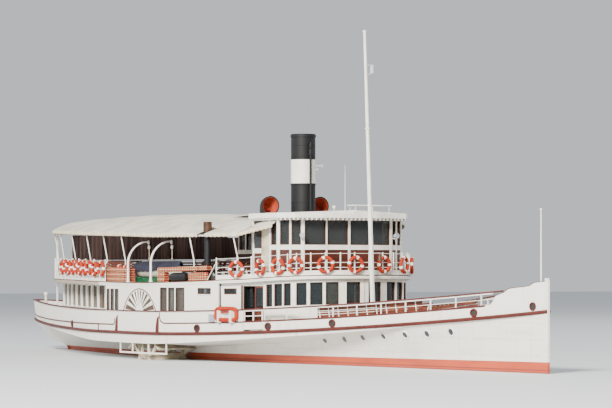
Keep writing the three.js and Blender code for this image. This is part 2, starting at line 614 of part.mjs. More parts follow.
// Boarding gates in the rail: a low panel, posts and a hand rail, hinged forward
const gateLine = edge(GATE.aft + 2, GATE.fore - 2, 0.5 + PLATE / 2);
const gatePosts = [GATE.aft + 5, (GATE.aft + GATE.fore) / 2, GATE.fore - 5].map((x) => {
  const y = -(plan(x) - 0.5 - PLATE / 2);
  return block([x - 2.2, y - 2.2, guardZ(x) + 30], [x + 2.2, y + 2.2, guardZ(x) + RAIL_HIGH - 3]);
});
both('boarding_gate', 'white', join(
  strip(gateLine, -2, 2, (x) => guardZ(x) + STRAKE.deep / 2 + 5.5, (x) => guardZ(x) + LOW_BULWARK_HIGH),
  gatePosts, bar(gateLine, 3, RAIL_HIGH - 5, RAIL_HIGH), bar(gateLine, 1.3, 66, 69)));

// Upper deck rails, forward around the front and aft around the stern
function upperRail(path, spacing) {
  const line = shifted(path, -7);
  const level = (half, z0, z1) => strip(line, -half, half, (x) => upperTop(x) + z0, (x) => upperTop(x) + z1);
  const run = lengthOf(line);
  const count = Math.round(run / spacing);
  const posts = Array.from({ length: count + 1 }, (_, i) => {
    const [x, y] = portion(line, Math.min(Math.max((run * i) / count, 2.5), run - 2.5), run)[0];
    return block([x - 2, y - 2, upperTop(x) + 1], [x + 2, y + 2, upperTop(x) + UPPER_RAIL_HIGH - 1]);
  });
  return join(level(1.2, GAP, 15), posts, level(2.4, UPPER_RAIL_HIGH - 4, UPPER_RAIL_HIGH));
}
const railStart = 462;
add('upper_rail_fore', 'white', upperRail(aroundBow([...edge(railStart, HOUSE.fore - 18), ...turnedIn]), 120));
add('upper_rail_aft', 'white', upperRail(aroundStern([...upperEnd, ...edge(-1250, -450)]), 155));

// Wheelhouse on the upper deck: bowed front, chamfered corners, windows all round
const housePath = [
  [WHEELHOUSE.aft, -20], [WHEELHOUSE.aft, -WHEELHOUSE.half], [WHEELHOUSE.chamfer, -WHEELHOUSE.half],
  [WHEELHOUSE.front, -WHEELHOUSE.halfFront], [WHEELHOUSE.bow - 4, -104], [WHEELHOUSE.bow, 0],
];
const wheelhousePath = [...housePath, ...toPort(housePath).slice(1)];
const closedBack = [[WHEELHOUSE.aft, 24], [WHEELHOUSE.aft, -24]];
const WHEELHOUSE_PANES = [
  // x and y where each pane starts and ends, on the starboard half
  [[716, -290], [768, -290]], [[781, -283], [802, -254]], [[808.5, -245], [830, -215]],
  [[835, -200], [845, -108]], [[846, -100], [850, -6]],
];
const paneHole = ([[x0, y0], [x1, y1]]) => strip([[x0, y0], [x1, y1]], -25, 12, () => 487, () => 588);
const wheelhouseRing = onUpper(join(
  strip(wheelhousePath, -WALL, 0, () => UPPER_LOW, () => WHEELHOUSE.top),
  strip(closedBack, -WALL, 0, () => UPPER_LOW, () => WHEELHOUSE.top)));
const starboardPanes = WHEELHOUSE_PANES.map(paneHole);
const WHEELHOUSE_DOOR = { aft: 630, fore: 690, low: 360, high: 585, thick: 4 };
const doorway = block([WHEELHOUSE_DOOR.aft, -WHEELHOUSE.half - 20, WHEELHOUSE_DOOR.low],
  [WHEELHOUSE_DOOR.fore, -WHEELHOUSE.half + 20, WHEELHOUSE_DOOR.high]);
add('wheelhouse_walls', 'mahogany', cut(
  wheelhouseRing, starboardPanes, starboardPanes.map(mirrored), doorway, mirrored(doorway)));
const glassPath = portion(wheelhousePath, 420, lengthOf(wheelhousePath) - 420);
add('wheelhouse_glass', 'glass', strip(glassPath, paneFar, -WALL - GAP, () => 480, () => 593));
const wheelhouseLeaf = block(
  [WHEELHOUSE_DOOR.aft + 1, -WHEELHOUSE.half + 1, WHEELHOUSE_DOOR.low + 1],
  [WHEELHOUSE_DOOR.fore - 1, -WHEELHOUSE.half + 1 + WHEELHOUSE_DOOR.thick, WHEELHOUSE_DOOR.high - 1]);
both('wheelhouse_door', 'mahogany', wheelhouseLeaf);
const roofHalf = [[548, -306], [800, -310], [868, -262], [892, -140], [897, 0]];
const roofPlan = aroundBow(roofHalf);
const roofLoops = roofHalf.map(([x, y]) => {
  const half = Math.max(-y, 4);
  return [[x, -half, WHEELHOUSE.top + GAP], [x, half, WHEELHOUSE.top + GAP], [x, half, 617], [x, 0, 629], [x, -half, 617]];
});
const valance = strip(roofPlan, -3, 0, () => 596, () => 612);
add('wheelhouse_roof', 'white', join(loft(roofLoops), valance));

// Helm: a pedestal in the wheelhouse and the steering wheel on it
const HELM = { x: 752, z: 455, radius: 48 };
const pedestal = block([HELM.x - 30, -22, UPPER_LOW], [HELM.x - 8, 22, HELM.z + 14]);
add('helm_pedestal', 'mahogany', onUpper(pedestal));
const spokes = Array.from({ length: 3 }, (_, i) => {
  const a = (Math.PI * i) / 3;
  const [y, z] = [Math.cos(a) * (HELM.radius + 9), Math.sin(a) * (HELM.radius + 9)];
  return rod([HELM.x, -y, HELM.z - z], [HELM.x, y, HELM.z + z], 2, 4);
});
const helmRim = cut(rod([HELM.x - 2.5, 0, HELM.z], [HELM.x + 2.5, 0, HELM.z], HELM.radius + 3, 18),
  rod([HELM.x - 9, 0, HELM.z], [HELM.x + 9, 0, HELM.z], HELM.radius - 3, 18));
const helmHub = rod([HELM.x - 7, 0, HELM.z], [HELM.x + 6, 0, HELM.z], 7, 12);
add('helm_wheel', 'mahogany', join(helmRim, spokes, helmHub));

// Engine casing on the upper deck, its roof, the funnel and what stands on it
const casing = cut(
  onUpper(block([CASING.aft, -CASING.half, UPPER_LOW], [CASING.fore, CASING.half, CASING.top])),
  block([CASING.aft + WALL, -CASING.half + WALL, 300], [CASING.fore - WALL, CASING.half - WALL, 700]));
const CASING_PANES = [[216, 262], [274, 320], [332, 378], [390, 436], [448, 494]];
const casingHoles = CASING_PANES.map(([x0, x1]) => block([x0, -400, 470], [x1, 400, 575]));
add('casing_walls', 'mahogany', cut(casing, casingHoles));
add('casing_roof', 'white', block([CASING.aft - 4, -CASING.half - 4, CASING.top + GAP],
  [CASING.fore + 4, CASING.half + 4, CASING.top + 8]));
const roofTop = CASING.top + 8 + GAP;
const funnelRings = [[roofTop, 12], [742, 4], [943, 10]].map(([z, high]) => rod(
  [FUNNEL.x, 0, z], [FUNNEL.x, 0, z + high], FUNNEL.radius + 3, 20));
const PIPE = { x: 525, radius: 5, top: 905 };
const steamPipe = [
  rod([PIPE.x, 0, roofTop], [PIPE.x, 0, PIPE.top], PIPE.radius, 10),
  rod([PIPE.x, 0, 868], [PIPE.x, 0, 893], 9, 10),
  rod([PIPE.x, 0, PIPE.top - 1], [PIPE.x, 0, PIPE.top + 16], 7, 10, 3),
];
const brackets = [700, 850].map((z) => block([FUNNEL.x + 40, -3, z], [PIPE.x, 3, z + 5]));
add('funnel', 'black', cut(
  join(rod([FUNNEL.x, 0, roofTop], [FUNNEL.x, 0, FUNNEL.top], FUNNEL.radius, 20), funnelRings, steamPipe, brackets),
  rod([FUNNEL.x, 0, 640], [FUNNEL.x, 0, 1000], FUNNEL.radius - FUNNEL.wall, 20)));

// Cowl ventilators facing forward
const COWL = { x: 345, y: -120, stem: 22, mouth: 40, centre: 655 };
const cowlBend = Array.from({ length: 6 }, (_, i) => (Math.PI * i) / 10);
const cowlPath = cowlBend.map((a) => [COWL.x + 34 * (1 - Math.cos(a)), COWL.y, COWL.centre - 34 + 34 * Math.sin(a)]);
const cowlRadii = [22, 24, 27, 31, 35, 39];
const cowlOuter = [[COWL.x, COWL.y, roofTop], ...cowlPath, [COWL.x + 50, COWL.y, COWL.centre]];
const cowlInner = [...cowlPath.slice(2), [COWL.x + 56, COWL.y, COWL.centre]];
both('cowl', 'black', cut(bent(cowlOuter, [22, ...cowlRadii, 40.5], 14),
  bent(cowlInner, [...cowlRadii.slice(2).map((r) => r - 4), 37.5], 14)));

// Galley stove pipe on the starboard side
const STOVE = { x: 335, y: -388, radius: 12, neck: 540, top: 586, capRadius: 16.5 };
const stoveRod = (low, high, radius) => rod([STOVE.x, STOVE.y, low], [STOVE.x, STOVE.y, high], radius, 14);
add('stove_pipe', 'black', onUpper(join(
  stoveRod(UPPER_LOW, STOVE.neck + 5, STOVE.radius), stoveRod(STOVE.neck, STOVE.top, STOVE.capRadius))));

// Awning over the after part: x, half-breadth, edge z, ridge z
const AWNING = [
  [-2066, 16, 572, 578], [-1980, 52, 575, 597], [-1880, 98, 575, 609], [-1640, 205, 574, 625],
  [-1200, 332, 565, 634], [-760, 424, 555, 637], [-300, 466, 546, 634], [0, 470, 539, 628],
  [300, 428, 537, 624], [545, 364, 536, 620],
];
const CLOTH = 4;
const AWNING_STEPS = [-1, -0.67, -0.33, 0, 0.33, 0.67, 1];
const awningLoops = AWNING.map(([x, half, edgeZ, ridge]) => {
  const arc = (drop, shrink) => AWNING_STEPS.map((t) => [
    x, t * (half - shrink), edgeZ + (ridge - edgeZ) * (1 - t * t) - drop]);
  const hem = 15;
  return [[x, -half, edgeZ - hem], ...arc(0, 0), [x, half, edgeZ - hem], [x, half - CLOTH, edgeZ - hem],
    ...arc(CLOTH, CLOTH).reverse(), [x, -half + CLOTH, edgeZ - hem]];
});
const casingRoom = block([CASING.aft - 12, -CASING.half - 12, 400], [900, CASING.half + 12, 800]);
const stoveRoom = stoveRod(400, 700, 23);
add('awning', 'canvas', cut(loft(awningLoops), casingRoom, stoveRoom));

// Awning frame: stanchions on the upper deck with side bars and hoops, and the post at the stern
const FRAME_XS = [-1950, -1740, -1474, -1151, -855, -605, -376, 150, 243, 517];
const HOOP_XS = FRAME_XS.slice(0, 8);
const POST_XS = FRAME_XS.filter((x) => x !== 150);
function straight(rows, column) {
  return (x) => {
    let i = 0;
    while (i < rows.length - 2 && x > rows[i + 1][0]) i += 1;
    const t = (x - rows[i][0]) / (rows[i + 1][0] - rows[i][0]);
    return rows[i][column] + (rows[i + 1][column] - rows[i][column]) * t;
  };
}
const [edgeHalf, edgeHeight, ridgeHeight] = [1, 2, 3].map((column) => straight(AWNING, column));
const frameDrop = CLOTH + 4.5;
const hoopPoint = (x, t) => [x, t * (edgeHalf(x) - 9),
  edgeHeight(x) + (ridgeHeight(x) - edgeHeight(x)) * (1 - t * t) - frameDrop];
const BAR = 2.4;
const hoop = (x) => loft(AWNING_STEPS.map((t) => {
  const [, y, z] = hoopPoint(x, t);
  return [[x - BAR, y, z - BAR], [x + BAR, y, z - BAR], [x + BAR, y, z + BAR], [x - BAR, y, z + BAR]];
}));
const sideBar = (side) => loft(FRAME_XS.map((x) => {
  const [, y, z] = hoopPoint(x, side);
  return [[x, y - BAR, z - BAR], [x, y + BAR, z - BAR], [x, y + BAR, z + BAR], [x, y - BAR, z + BAR]];
}));
const afterHalf = (x) => -straight(upperEdge, 1)(x);
const posts = POST_XS.flatMap((x) => [-1, 1].flatMap((side) => {
  // Each stanchion leans in from the awning's edge to a knee, then out to the rail or straight down
  const top = hoopPoint(x, side);
  const [footX, kneeHalf] = [x - 5, Math.abs(top[1]) - 25];
  const knee = [footX, side * kneeHalf, upperTop(x) + UPPER_RAIL_HIGH];
  const foot = x < -600 ? [footX, side * (afterHalf(footX) - 14), upperTop(footX) + 3]
    : [footX, side * kneeHalf, upperTop(footX) + 0.8];
  return [rod(foot, knee, 3.2, 4), rod(knee, top, 3.2, 4)];
}));
const STERN_POST_X = -2045;
const sternTop = hoopPoint(STERN_POST_X + 5, 0);
const sternPost = [
  rod([STERN_POST_X, 0, deckTop(STERN_POST_X) + 0.8], [STERN_POST_X, 0, sternTop[2]], 5, 6),
  rod([STERN_POST_X - 2, 0, sternTop[2] - 3], hoopPoint(FRAME_XS[0], 0), 3.2, 4),
];
add('awning_frame', 'white', join(HOOP_XS.map(hoop), posts, [-1, 1].map(sideBar), sternPost));

// Mast
add('mast', 'white', rod([MAST.footX, 0, deckTop(MAST.footX) + 1.2], [MAST.headX, 0, MAST.headZ],
  MAST.footR, 12, MAST.headR));

// Davits: a post with a quarter-circle arm, and the block that hangs from it
function davit(x) {
  const centre = [DAVIT.y - DAVIT.reach, DAVIT.knee - 8];
  const arc = Array.from({ length: 6 }, (_, i) => {
    const a = (Math.PI * i) / 10;
    return [x, -(centre[0] + DAVIT.reach * Math.cos(a)), centre[1] + DAVIT.reach * Math.sin(a)];
  });
  const arm = bent([[x, -DAVIT.y, upperTop(x) + 0.8], ...arc], [6, 6, 6, 5.6, 5.2, 4.8, 4.4], 8);
  const [tipY, tipZ] = [arc[5][1], arc[5][2]];
  const eye = rod([x, tipY + 2, tipZ - 12], [x, tipY + 2, tipZ + 5], 5, 8);
  return join(arm, eye, block([x - 5, tipY - 4, tipZ - 44], [x + 5, tipY + 8, tipZ - 11]));
}
both('davit_aft', 'white', davit(DAVIT.aft));
both('davit_fore', 'white', davit(DAVIT.fore));

// Dinghies under their covers: x along the boat, half-breadth, keel z, cover z
const BOAT = [
  [-1, 0.5, 0.3, 0.92], [-0.8, 0.72, 0.1, 0.98], [-0.4, 0.96, 0, 1], [0.1, 1, 0, 1], [0.55, 0.8, 0.04, 1.02],
  [0.85, 0.42, 0.16, 1.06], [1, 0.05, 0.5, 1.05],
];
const boatLoop = ([along, wide, keel]) => {
  const x = DINGHY.x + (along * DINGHY.long) / 2;
  const half = wide * DINGHY.half;
  const low = DINGHY.low + keel * (DINGHY.high - DINGHY.low);
  return [[x, -DINGHY.y - half, DINGHY.high], [x, -DINGHY.y - half * 0.8, (low + DINGHY.high) / 2],
    [x, -DINGHY.y - half * 0.2, low], [x, -DINGHY.y + half * 0.2, low],
    [x, -DINGHY.y + half * 0.8, (low + DINGHY.high) / 2], [x, -DINGHY.y + half, DINGHY.high]];
};
const coverLoop = ([along, wide, , top]) => {
  const x = DINGHY.x + (along * DINGHY.long) / 2;
  const half = wide * DINGHY.half;
  const high = DINGHY.high + 22 * top;
  return [[x, -DINGHY.y - half, DINGHY.high - 1], [x, -DINGHY.y + half, DINGHY.high - 1],
    [x, -DINGHY.y + half * 0.4, high], [x, -DINGHY.y - half * 0.4, high]];
};
const chocks = [-0.45, 0.45].map((along) => {
  const x = DINGHY.x + (along * DINGHY.long) / 2;
  return onUpper(block([x - 6, -DINGHY.y - 50, UPPER_LOW], [x + 6, -DINGHY.y + 50, DINGHY.low + 9]));
});
both('dinghy', 'white', join(loft(BOAT.map(boatLoop)), loft(BOAT.map(coverLoop)), chocks));

// Buoyant floats stacked along the upper deck's edge
const raft = (x0, x1, inset, high) => strip(edge(x0, x1, inset), -13, 13,
  (x) => upperTop(x) + GAP + 0.4, () => high);
both('float_aft', 'orange', raft(-500, -222, 31, 396.5));
both('float_fore', 'orange', raft(45, 390, 30, 400));

// Paddle wheels on one shaft
function wheelSide(yNear, yFar) {
  const rim = cut(rod([WHEEL.x, yNear, WHEEL.z], [WHEEL.x, yFar, WHEEL.z], 128, 18),
    rod([WHEEL.x, yNear - 9, WHEEL.z], [WHEEL.x, yFar + 9, WHEEL.z], 117, 18));
  const boss = rod([WHEEL.x, yNear, WHEEL.z], [WHEEL.x, yFar, WHEEL.z], 30, 9);
  const arms = Array.from({ length: WHEEL.floats }, (_, i) => {
    const arm = block([-5, yNear, 20], [5, yFar, WHEEL.radius - 14]);
    return arm.rotate([0, (360 * i) / WHEEL.floats, 0]).translate([WHEEL.x, 0, WHEEL.z]);
  });
  return join(rim, boss, arms);
}
const floats = Array.from({ length: WHEEL.floats }, (_, i) => {
  const float = block([-3, -WHEEL.outer, 112], [3, -WHEEL.inner, WHEEL.radius - 0.4]);
  return float.rotate([0, (360 * i) / WHEEL.floats, 0]).translate([WHEEL.x, 0, WHEEL.z]);
});
const shaftRoom = rod([WHEEL.x, -600, WHEEL.z], [WHEEL.x, 0, WHEEL.z], SHAFT_R + GAP, 16);
both('paddle_wheel', 'cream', cut(
  join(wheelSide(-472, -464), wheelSide(-314, -306), floats), shaftRoom));
add('paddle_shaft', 'steel', rod([WHEEL.x, -484, WHEEL.z], [WHEEL.x, 484, WHEEL.z], SHAFT_R, 16));

// Rudder: a blade behind the stern post on its stock
const blade = sidePlate([
  [RUDDER.x - 4, KEEL_Z + 12], [RUDDER.x - RUDDER.length, KEEL_Z + 22], [RUDDER.x - RUDDER.length - 6, 2],
  [RUDDER.x - 40, 2], [RUDDER.x - 4, -8],
], -RUDDER.thick / 2, RUDDER.thick / 2);
add('rudder', 'red', join(blade, rod([RUDDER.x, 0, KEEL_Z + 12], [RUDDER.x, 0, 60], RUDDER.stockR, 12)));

// Foredeck bench: two seats back to back on slanted frames
const BENCH = { aft: 1130, fore: 1440, seat: 42, high: 80, half: 62 };
const benchTop = deckTop(BENCH.fore) + BENCH.seat;
const benchFrames = [BENCH.aft + 10, (BENCH.aft + BENCH.fore) / 2, BENCH.fore - 10].map((x) => join(
  block([x - 3, -BENCH.half + 8, 100], [x + 3, BENCH.half - 8, benchTop - 3]),
  block([x - 3, -4, benchTop - 4], [x + 3, 4, benchTop + BENCH.high - BENCH.seat])));
add('foredeck_bench', 'teak', onDeck(join(
  block([BENCH.aft, -BENCH.half, benchTop - 4], [BENCH.fore, BENCH.half, benchTop]),
  block([BENCH.aft, -3, benchTop + 12], [BENCH.fore, 3, benchTop + BENCH.high - BENCH.seat]), benchFrames)));

const group = new THREE.Group();
for (const [name, paint, body] of parts) {
  const [color, roughness, metalness] = PAINT[paint];
  const material = new THREE.MeshStandardMaterial({ color, roughness, metalness });
  const mesh = new THREE.Mesh(geometryOf(body), material);
  mesh.name = name;
  group.add(mesh);
}

export default group;
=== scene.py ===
"""The looks of a one-tenth scale model of a lake paddle steamer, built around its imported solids.

Metres of the model: +X points to the bow, +Y to port and +Z up, and the water lies at z = 0.
"""

import bmesh
import bpy
import numpy as np
from mathutils import Matrix, Vector


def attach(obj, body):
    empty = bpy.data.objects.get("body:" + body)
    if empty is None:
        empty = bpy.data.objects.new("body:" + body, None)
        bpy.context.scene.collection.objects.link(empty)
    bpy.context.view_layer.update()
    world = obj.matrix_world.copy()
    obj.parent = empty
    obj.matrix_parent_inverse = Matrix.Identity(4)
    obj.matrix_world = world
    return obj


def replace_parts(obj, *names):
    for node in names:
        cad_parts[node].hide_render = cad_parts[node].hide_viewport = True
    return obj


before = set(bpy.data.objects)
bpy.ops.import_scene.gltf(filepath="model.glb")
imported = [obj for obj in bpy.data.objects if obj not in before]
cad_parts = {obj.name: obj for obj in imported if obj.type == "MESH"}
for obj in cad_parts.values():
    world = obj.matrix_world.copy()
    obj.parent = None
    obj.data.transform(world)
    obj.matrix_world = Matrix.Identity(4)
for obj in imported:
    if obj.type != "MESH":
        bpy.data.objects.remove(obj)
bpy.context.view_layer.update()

# Camera: a long lens low over the water, off the starboard bow. Its place and its pointing were
# fitted to the stem, the stern, the mast and the rails.
eye = Vector((11.902, -6.305, 0.371))
heading = np.radians(151.09)
pitch_up = np.radians(1.277)
look = Vector((np.cos(heading) * np.cos(pitch_up), np.sin(heading) * np.cos(pitch_up), np.sin(pitch_up)))
right = Vector((np.sin(heading), -np.cos(heading), 0))
over = right.cross(look)
lens = bpy.data.cameras.new("camera")
lens.sensor_width = 36
lens.lens = 182.34
lens.clip_end = 200
camera = bpy.data.objects.new("camera", lens)
camera.matrix_world = Matrix.Translation(eye) @ Matrix((right, over, -look)).transposed().to_4x4()
bpy.context.scene.collection.objects.link(camera)
bpy.context.scene.camera = camera

# Light: a broad lamp high on the starboard bow, a weaker one from the quarter, and a pale sky.
for lamp_name, spot, size, watts in [
    ("key_lamp", (9, -10, 7.5), 4.0, 6300),
    ("quarter_lamp", (-9, -9, 6), 6, 700),
    ("far_lamp", (-2, 12, 7), 7, 700),
]:
    lamp = bpy.data.lights.new(lamp_name, "AREA")
    lamp.size = size
    lamp.energy = watts
    lamp.color = (1, 0.965, 0.91) if lamp_name == "key_lamp" else (0.94, 0.97, 1)
    holder = bpy.data.objects.new(lamp_name, lamp)
    holder.location = spot
    holder.rotation_euler = (Vector((0, 0, 0.3)) - Vector(spot)).to_track_quat("-Z", "Y").to_euler()
    bpy.context.scene.collection.objects.link(holder)
sky = bpy.data.worlds.new("sky")
sky.use_nodes = True
sky.node_tree.nodes["Background"].inputs["Color"].default_value = (0.8, 0.84, 0.88, 1)
sky.node_tree.nodes["Background"].inputs["Strength"].default_value = 0.8
bpy.context.scene.world = sky


class Wire:
    """A socket of a material that takes part in sums: each operator adds one Math node."""

    def __init__(self, finish, socket):
        self.finish = finish
        self.socket = socket

    def sum(self, operation, first, second):
        """One Math node over two wires or numbers."""
        return self.finish.node("ShaderNodeMath", {0: first, 1: second}, operation=operation)

    def __add__(self, other):
        return self.sum("ADD", self, other)

    def __sub__(self, other):
        return self.sum("SUBTRACT", self, other)

    def __mul__(self, other):
        return self.sum("MULTIPLY", self, other)

    def __truediv__(self, other):
        return self.sum("DIVIDE", self, other)

    def __gt__(self, other):
        return self.sum("GREATER_THAN", self, other)

    def __lt__(self, other):
        return self.sum("LESS_THAN", self, other)

    def __mod__(self, other):
        return self.sum("FLOORED_MODULO", self, other)

    __radd__ = __add__
    __rmul__ = __mul__


class Finish:
    """A material in the making. node() adds any node, and set() fills the shader's sockets."""

    def __init__(self, name, **sockets):
        self.material = bpy.data.materials.new(name)
        self.material.use_nodes = True
        self.tree = self.material.node_tree
        self.shader = self.tree.nodes["Principled BSDF"]
        self.place = self.node("ShaderNodeTexCoord", output="Object")
        self.set(**sockets)

    def node(self, kind, values=None, output=0, stops=None, **settings):
        """A node of this kind: its settings come first, then the values or wires of its sockets."""
        node = self.tree.nodes.new(kind)
        for key, value in settings.items():
            setattr(node, key, value)
        if stops:
            ramp = node.color_ramp
            while len(ramp.elements) < len(stops):
                ramp.elements.new(1)
            for element, (position, colour) in zip(ramp.elements, stops):
                element.position = position
                element.color = (*colour, 1)
        for key, value in (values or {}).items():
            self.join(self.find(node.inputs, key), value)
        return Wire(self, self.find(node.outputs, output))

    def find(self, sockets, key):
        """A socket by its place or its name, past those that the node's settings have hidden."""
        if isinstance(key, int):
            return sockets[key]
        return next(s for s in sockets if s.name == key and not s.is_unavailable)

    def join(self, socket, value):
        """Links a wire to a socket, or sets the socket to a value."""
        if isinstance(value, Wire):
            self.tree.links.new(value.socket, socket)
        elif isinstance(value, tuple) and len(value) == 3 and socket.type == "RGBA":
            socket.default_value = (*value, 1)
        else:
            socket.default_value = value

    def set(self, **sockets):
        """Fills sockets of the shader, with _ for each space in a socket's name."""
        for key, value in sockets.items():
            self.join(self.shader.inputs[key.replace("_", " ")], value)
        return self

    def apart(self):
        """The three coordinates of the place, as wires."""
        return [self.node("ShaderNodeSeparateXYZ", {"Vector": self.place}, output=k) for k in range(3)]

    def noise(self, scale, detail=3, stretch=(1, 1, 1)):
        """Soft random values about 0.5 over the place, stretched along the axes."""
        place = self.node("ShaderNodeMapping", {"Vector": self.place, "Scale": stretch})
        return self.node("ShaderNodeTexNoise", {"Vector": place, "Scale": scale, "Detail": detail})

    def between(self, factor, first, second):
        """A colour that goes from the first to the second as the factor goes from 0 to 1."""
        return self.node("ShaderNodeMix", {"Factor": factor, "A": first, "B": second},
                         output="Result", data_type="RGBA")

    def soft(self, wire, low, high):
        """0 below low, 1 above high and a smooth rise between them."""
        return self.node("ShaderNodeMapRange", {"Value": wire, "From Min": low, "From Max": high},
                         interpolation_type="SMOOTHSTEP")

    def bump(self, height, distance, strength=1.0):
        """Raises the surface by the height times the distance in metres."""
        self.set(Normal=self.node("ShaderNodeBump", {
            "Height": height, "Distance": distance, "Strength": strength}, output="Normal"))
        return self


# Floor: a plain pale surface where the water would be.
floor_half = 40
floor_mesh = bpy.data.meshes.new("floor")
floor_mesh.from_pydata([(-floor_half, -floor_half, 0), (floor_half, -floor_half, 0),
                        (floor_half, floor_half, 0), (-floor_half, floor_half, 0)], [], [(0, 1, 2, 3)])
floor = bpy.data.objects.new("floor", floor_mesh)
bpy.context.scene.collection.objects.link(floor)
floor_mesh.materials.append(Finish("pale_floor", Base_Color=(0.62, 0.64, 0.65), Roughness=0.55).material)

# Hull: steel plates riveted on frames, white above a red boot topping and dull red below the
# water, with a bar stem and keel. The skin follows the cross sections, smoothed along the ship.
WHITE = (0.8, 0.765, 0.69)
HULL_SECTIONS = np.array([
    # x, keel z, z of the lowest wide point, half-breadth there and at the deck, fullness
    [-2.284, 0.124, 0.128, 0.006, 0.01, 1.6],
    [-2.2, 0.104, 0.112, 0.024, 0.038, 1.6],
    [-2.1, 0.074, 0.084, 0.036, 0.078, 1.6],
    [-2.0, 0.042, 0.054, 0.042, 0.114, 1.6],
    [-1.886, 0.01, 0.022, 0.022, 0.154, 1.6],
    [-1.882, -0.145, 0.0, 0.005, 0.155, 1.2],
    [-1.78, -0.145, 0.0, 0.03, 0.186, 1.25],
    [-1.5, -0.145, 0.0, 0.084, 0.236, 1.35],
    [-1.0, -0.145, 0.0, 0.176, 0.268, 1.8],
    [-0.5, -0.145, 0.0, 0.248, 0.276, 2.6],
    [0.0, -0.145, 0.0, 0.272, 0.281, 3.2],
    [0.5, -0.145, 0.0, 0.23, 0.262, 2.6],
    [1.0, -0.145, 0.0, 0.158, 0.222, 1.9],
    [1.5, -0.145, 0.0, 0.098, 0.176, 1.5],
    [1.9, -0.145, 0.0, 0.05, 0.086, 1.35],
    [2.2, -0.135, 0.0, 0.015, 0.022, 1.25],
    [2.31, -0.11, 0.0, 0.005, 0.006, 1.2],
    [2.331, -0.084, 0.0, 0.003, 0.0035, 1.2],
])
DECK_PLAN = np.array([
    # x, half-breadth of the main deck
    [-2.294, 0.001], [-2.275, 0.013], [-2.2, 0.044], [-2.1, 0.084], [-1.9, 0.154], [-1.5, 0.281],
    [-1.0, 0.408], [-0.5, 0.496], [0, 0.5], [0.5, 0.414], [1.0, 0.302], [1.5, 0.183], [1.9, 0.089],
    [2.2, 0.024], [2.332, 0.001],
])
# The decks and walls are framed in straight lines from one of these stations to the next.
STATIONS = np.array([-2294, -2284, -2266, -2235, -2200, -2100, -2000, -1850, -1700, -1550, -1400, -1250,
                     -1100, -950, -800, -650, -520, -400, -280, -160, -40, 80, 200, 320, 440, 560, 680, 800,
                     950, 1100, 1250, 1400, 1550, 1700, 1850, 2000, 2100, 2200, 2270, 2310, 2332]) / 1000
DECK_THICK = 0.01
HALF_LENGTH = 2.34


def fair(xs, ys):
    """A smooth curve through points: a cubic between neighbours, whose slope at each point is the
    harmonic mean of the two steps beside it, so that it never swings past them."""
    steps = np.diff(ys) / np.diff(xs)
    product = steps[:-1] * steps[1:]
    total = np.where(product > 0, steps[:-1] + steps[1:], 1)
    slopes = np.concatenate([steps[:1], np.where(product > 0, 2 * product / total, 0), steps[-1:]])

    def curve(x):
        x = np.clip(x, xs[0], xs[-1])
        i = np.clip(np.searchsorted(xs, x) - 1, 0, len(xs) - 2)
        span = xs[i + 1] - xs[i]
        t = (x - xs[i]) / span
        ends = (1 + 2 * t) * (1 - t) ** 2 * ys[i] + t ** 2 * (3 - 2 * t) * ys[i + 1]
        return ends + span * (t * (1 - t) ** 2 * slopes[i] - t ** 2 * (1 - t) * slopes[i + 1])

    return curve


def chords(curve):
    """The same curve in straight lines between the stations."""
    return lambda x: np.interp(x, STATIONS, curve(STATIONS))


deck_half = chords(fair(*DECK_PLAN.T))
guard_z = chords(lambda x: 0.114 + np.where(
    x > 0, 0.116 * (np.abs(x) / HALF_LENGTH) ** 1.73, 0.032 * (x / HALF_LENGTH) ** 2))
section_at = [fair(HULL_SECTIONS[:, 0], HULL_SECTIONS[:, k]) for k in range(1, 6)]


def net(rows, columns, round_rows=False, round_columns=False):
    """Faces of four between neighbours of a grid of points; a round direction joins its ends."""
    i = np.arange(rows if round_rows else rows - 1)[:, None]
    j = np.arange(columns if round_columns else columns - 1)[None, :]
    k, m = (i + 1) % rows, (j + 1) % columns
    corners = [i * columns + j, k * columns + j, k * columns + m, i * columns + m]
    return np.stack(corners, -1).reshape(-1, 4)


def skin(points, round_rows=False, round_columns=True):
    """A form over a grid of points (rows, columns, 3). Rows that are closed rings get flat ends."""
    rows, columns = points.shape[:2]
    faces = [net(rows, columns, round_rows, round_columns)]
    if round_columns and not round_rows:
        ring = np.arange(columns)[None]
        faces += [ring, ring + (rows - 1) * columns]
    return points.reshape(-1, 3), faces


def make(name, forms, material, body="ship", sharp=35):
    """One piece from its forms, each a pair of points and lists of faces: faces turned outwards,
    smooth up to an angle between them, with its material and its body."""
    starts = np.cumsum([0] + [len(points) for points, _ in forms])
    faces = []
    for start, (_, lists) in zip(starts, forms):
        for ring in lists:
            faces += (ring + start).tolist()
    mesh = bpy.data.meshes.new(name)
    mesh.from_pydata(np.concatenate([points for points, _ in forms]).tolist(), [], faces)
    shell = bmesh.new()
    shell.from_mesh(mesh)
    bmesh.ops.recalc_face_normals(shell, faces=shell.faces)
    shell.to_mesh(mesh)
    shell.free()
    mesh.shade_smooth()
    mesh.set_sharp_from_angle(angle=np.radians(sharp))
    mesh.materials.append(material)
    piece = bpy.data.objects.new(name, mesh)
    bpy.context.scene.collection.objects.link(piece)
    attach(piece, body)
    return piece


def mirrored(forms):
    """The same forms on the port side."""
    return [(points * (1, -1, 1), faces) for points, faces in forms]


SIDES = (("starboard", list), ("port", mirrored))
SIGNS = (("starboard", 1), ("port", -1))


def make_both(name, forms, material):
    """One piece from forms on the starboard side and their mirror images."""
    return make(name, forms + mirrored(forms), material)


def make_sided(name, forms, material, body):
    """A piece on the starboard body and its mirror image on the port one."""
    for side, flip in SIDES:
        make(f"{name}_{side}", flip(forms), material, f"{body}_{side}")


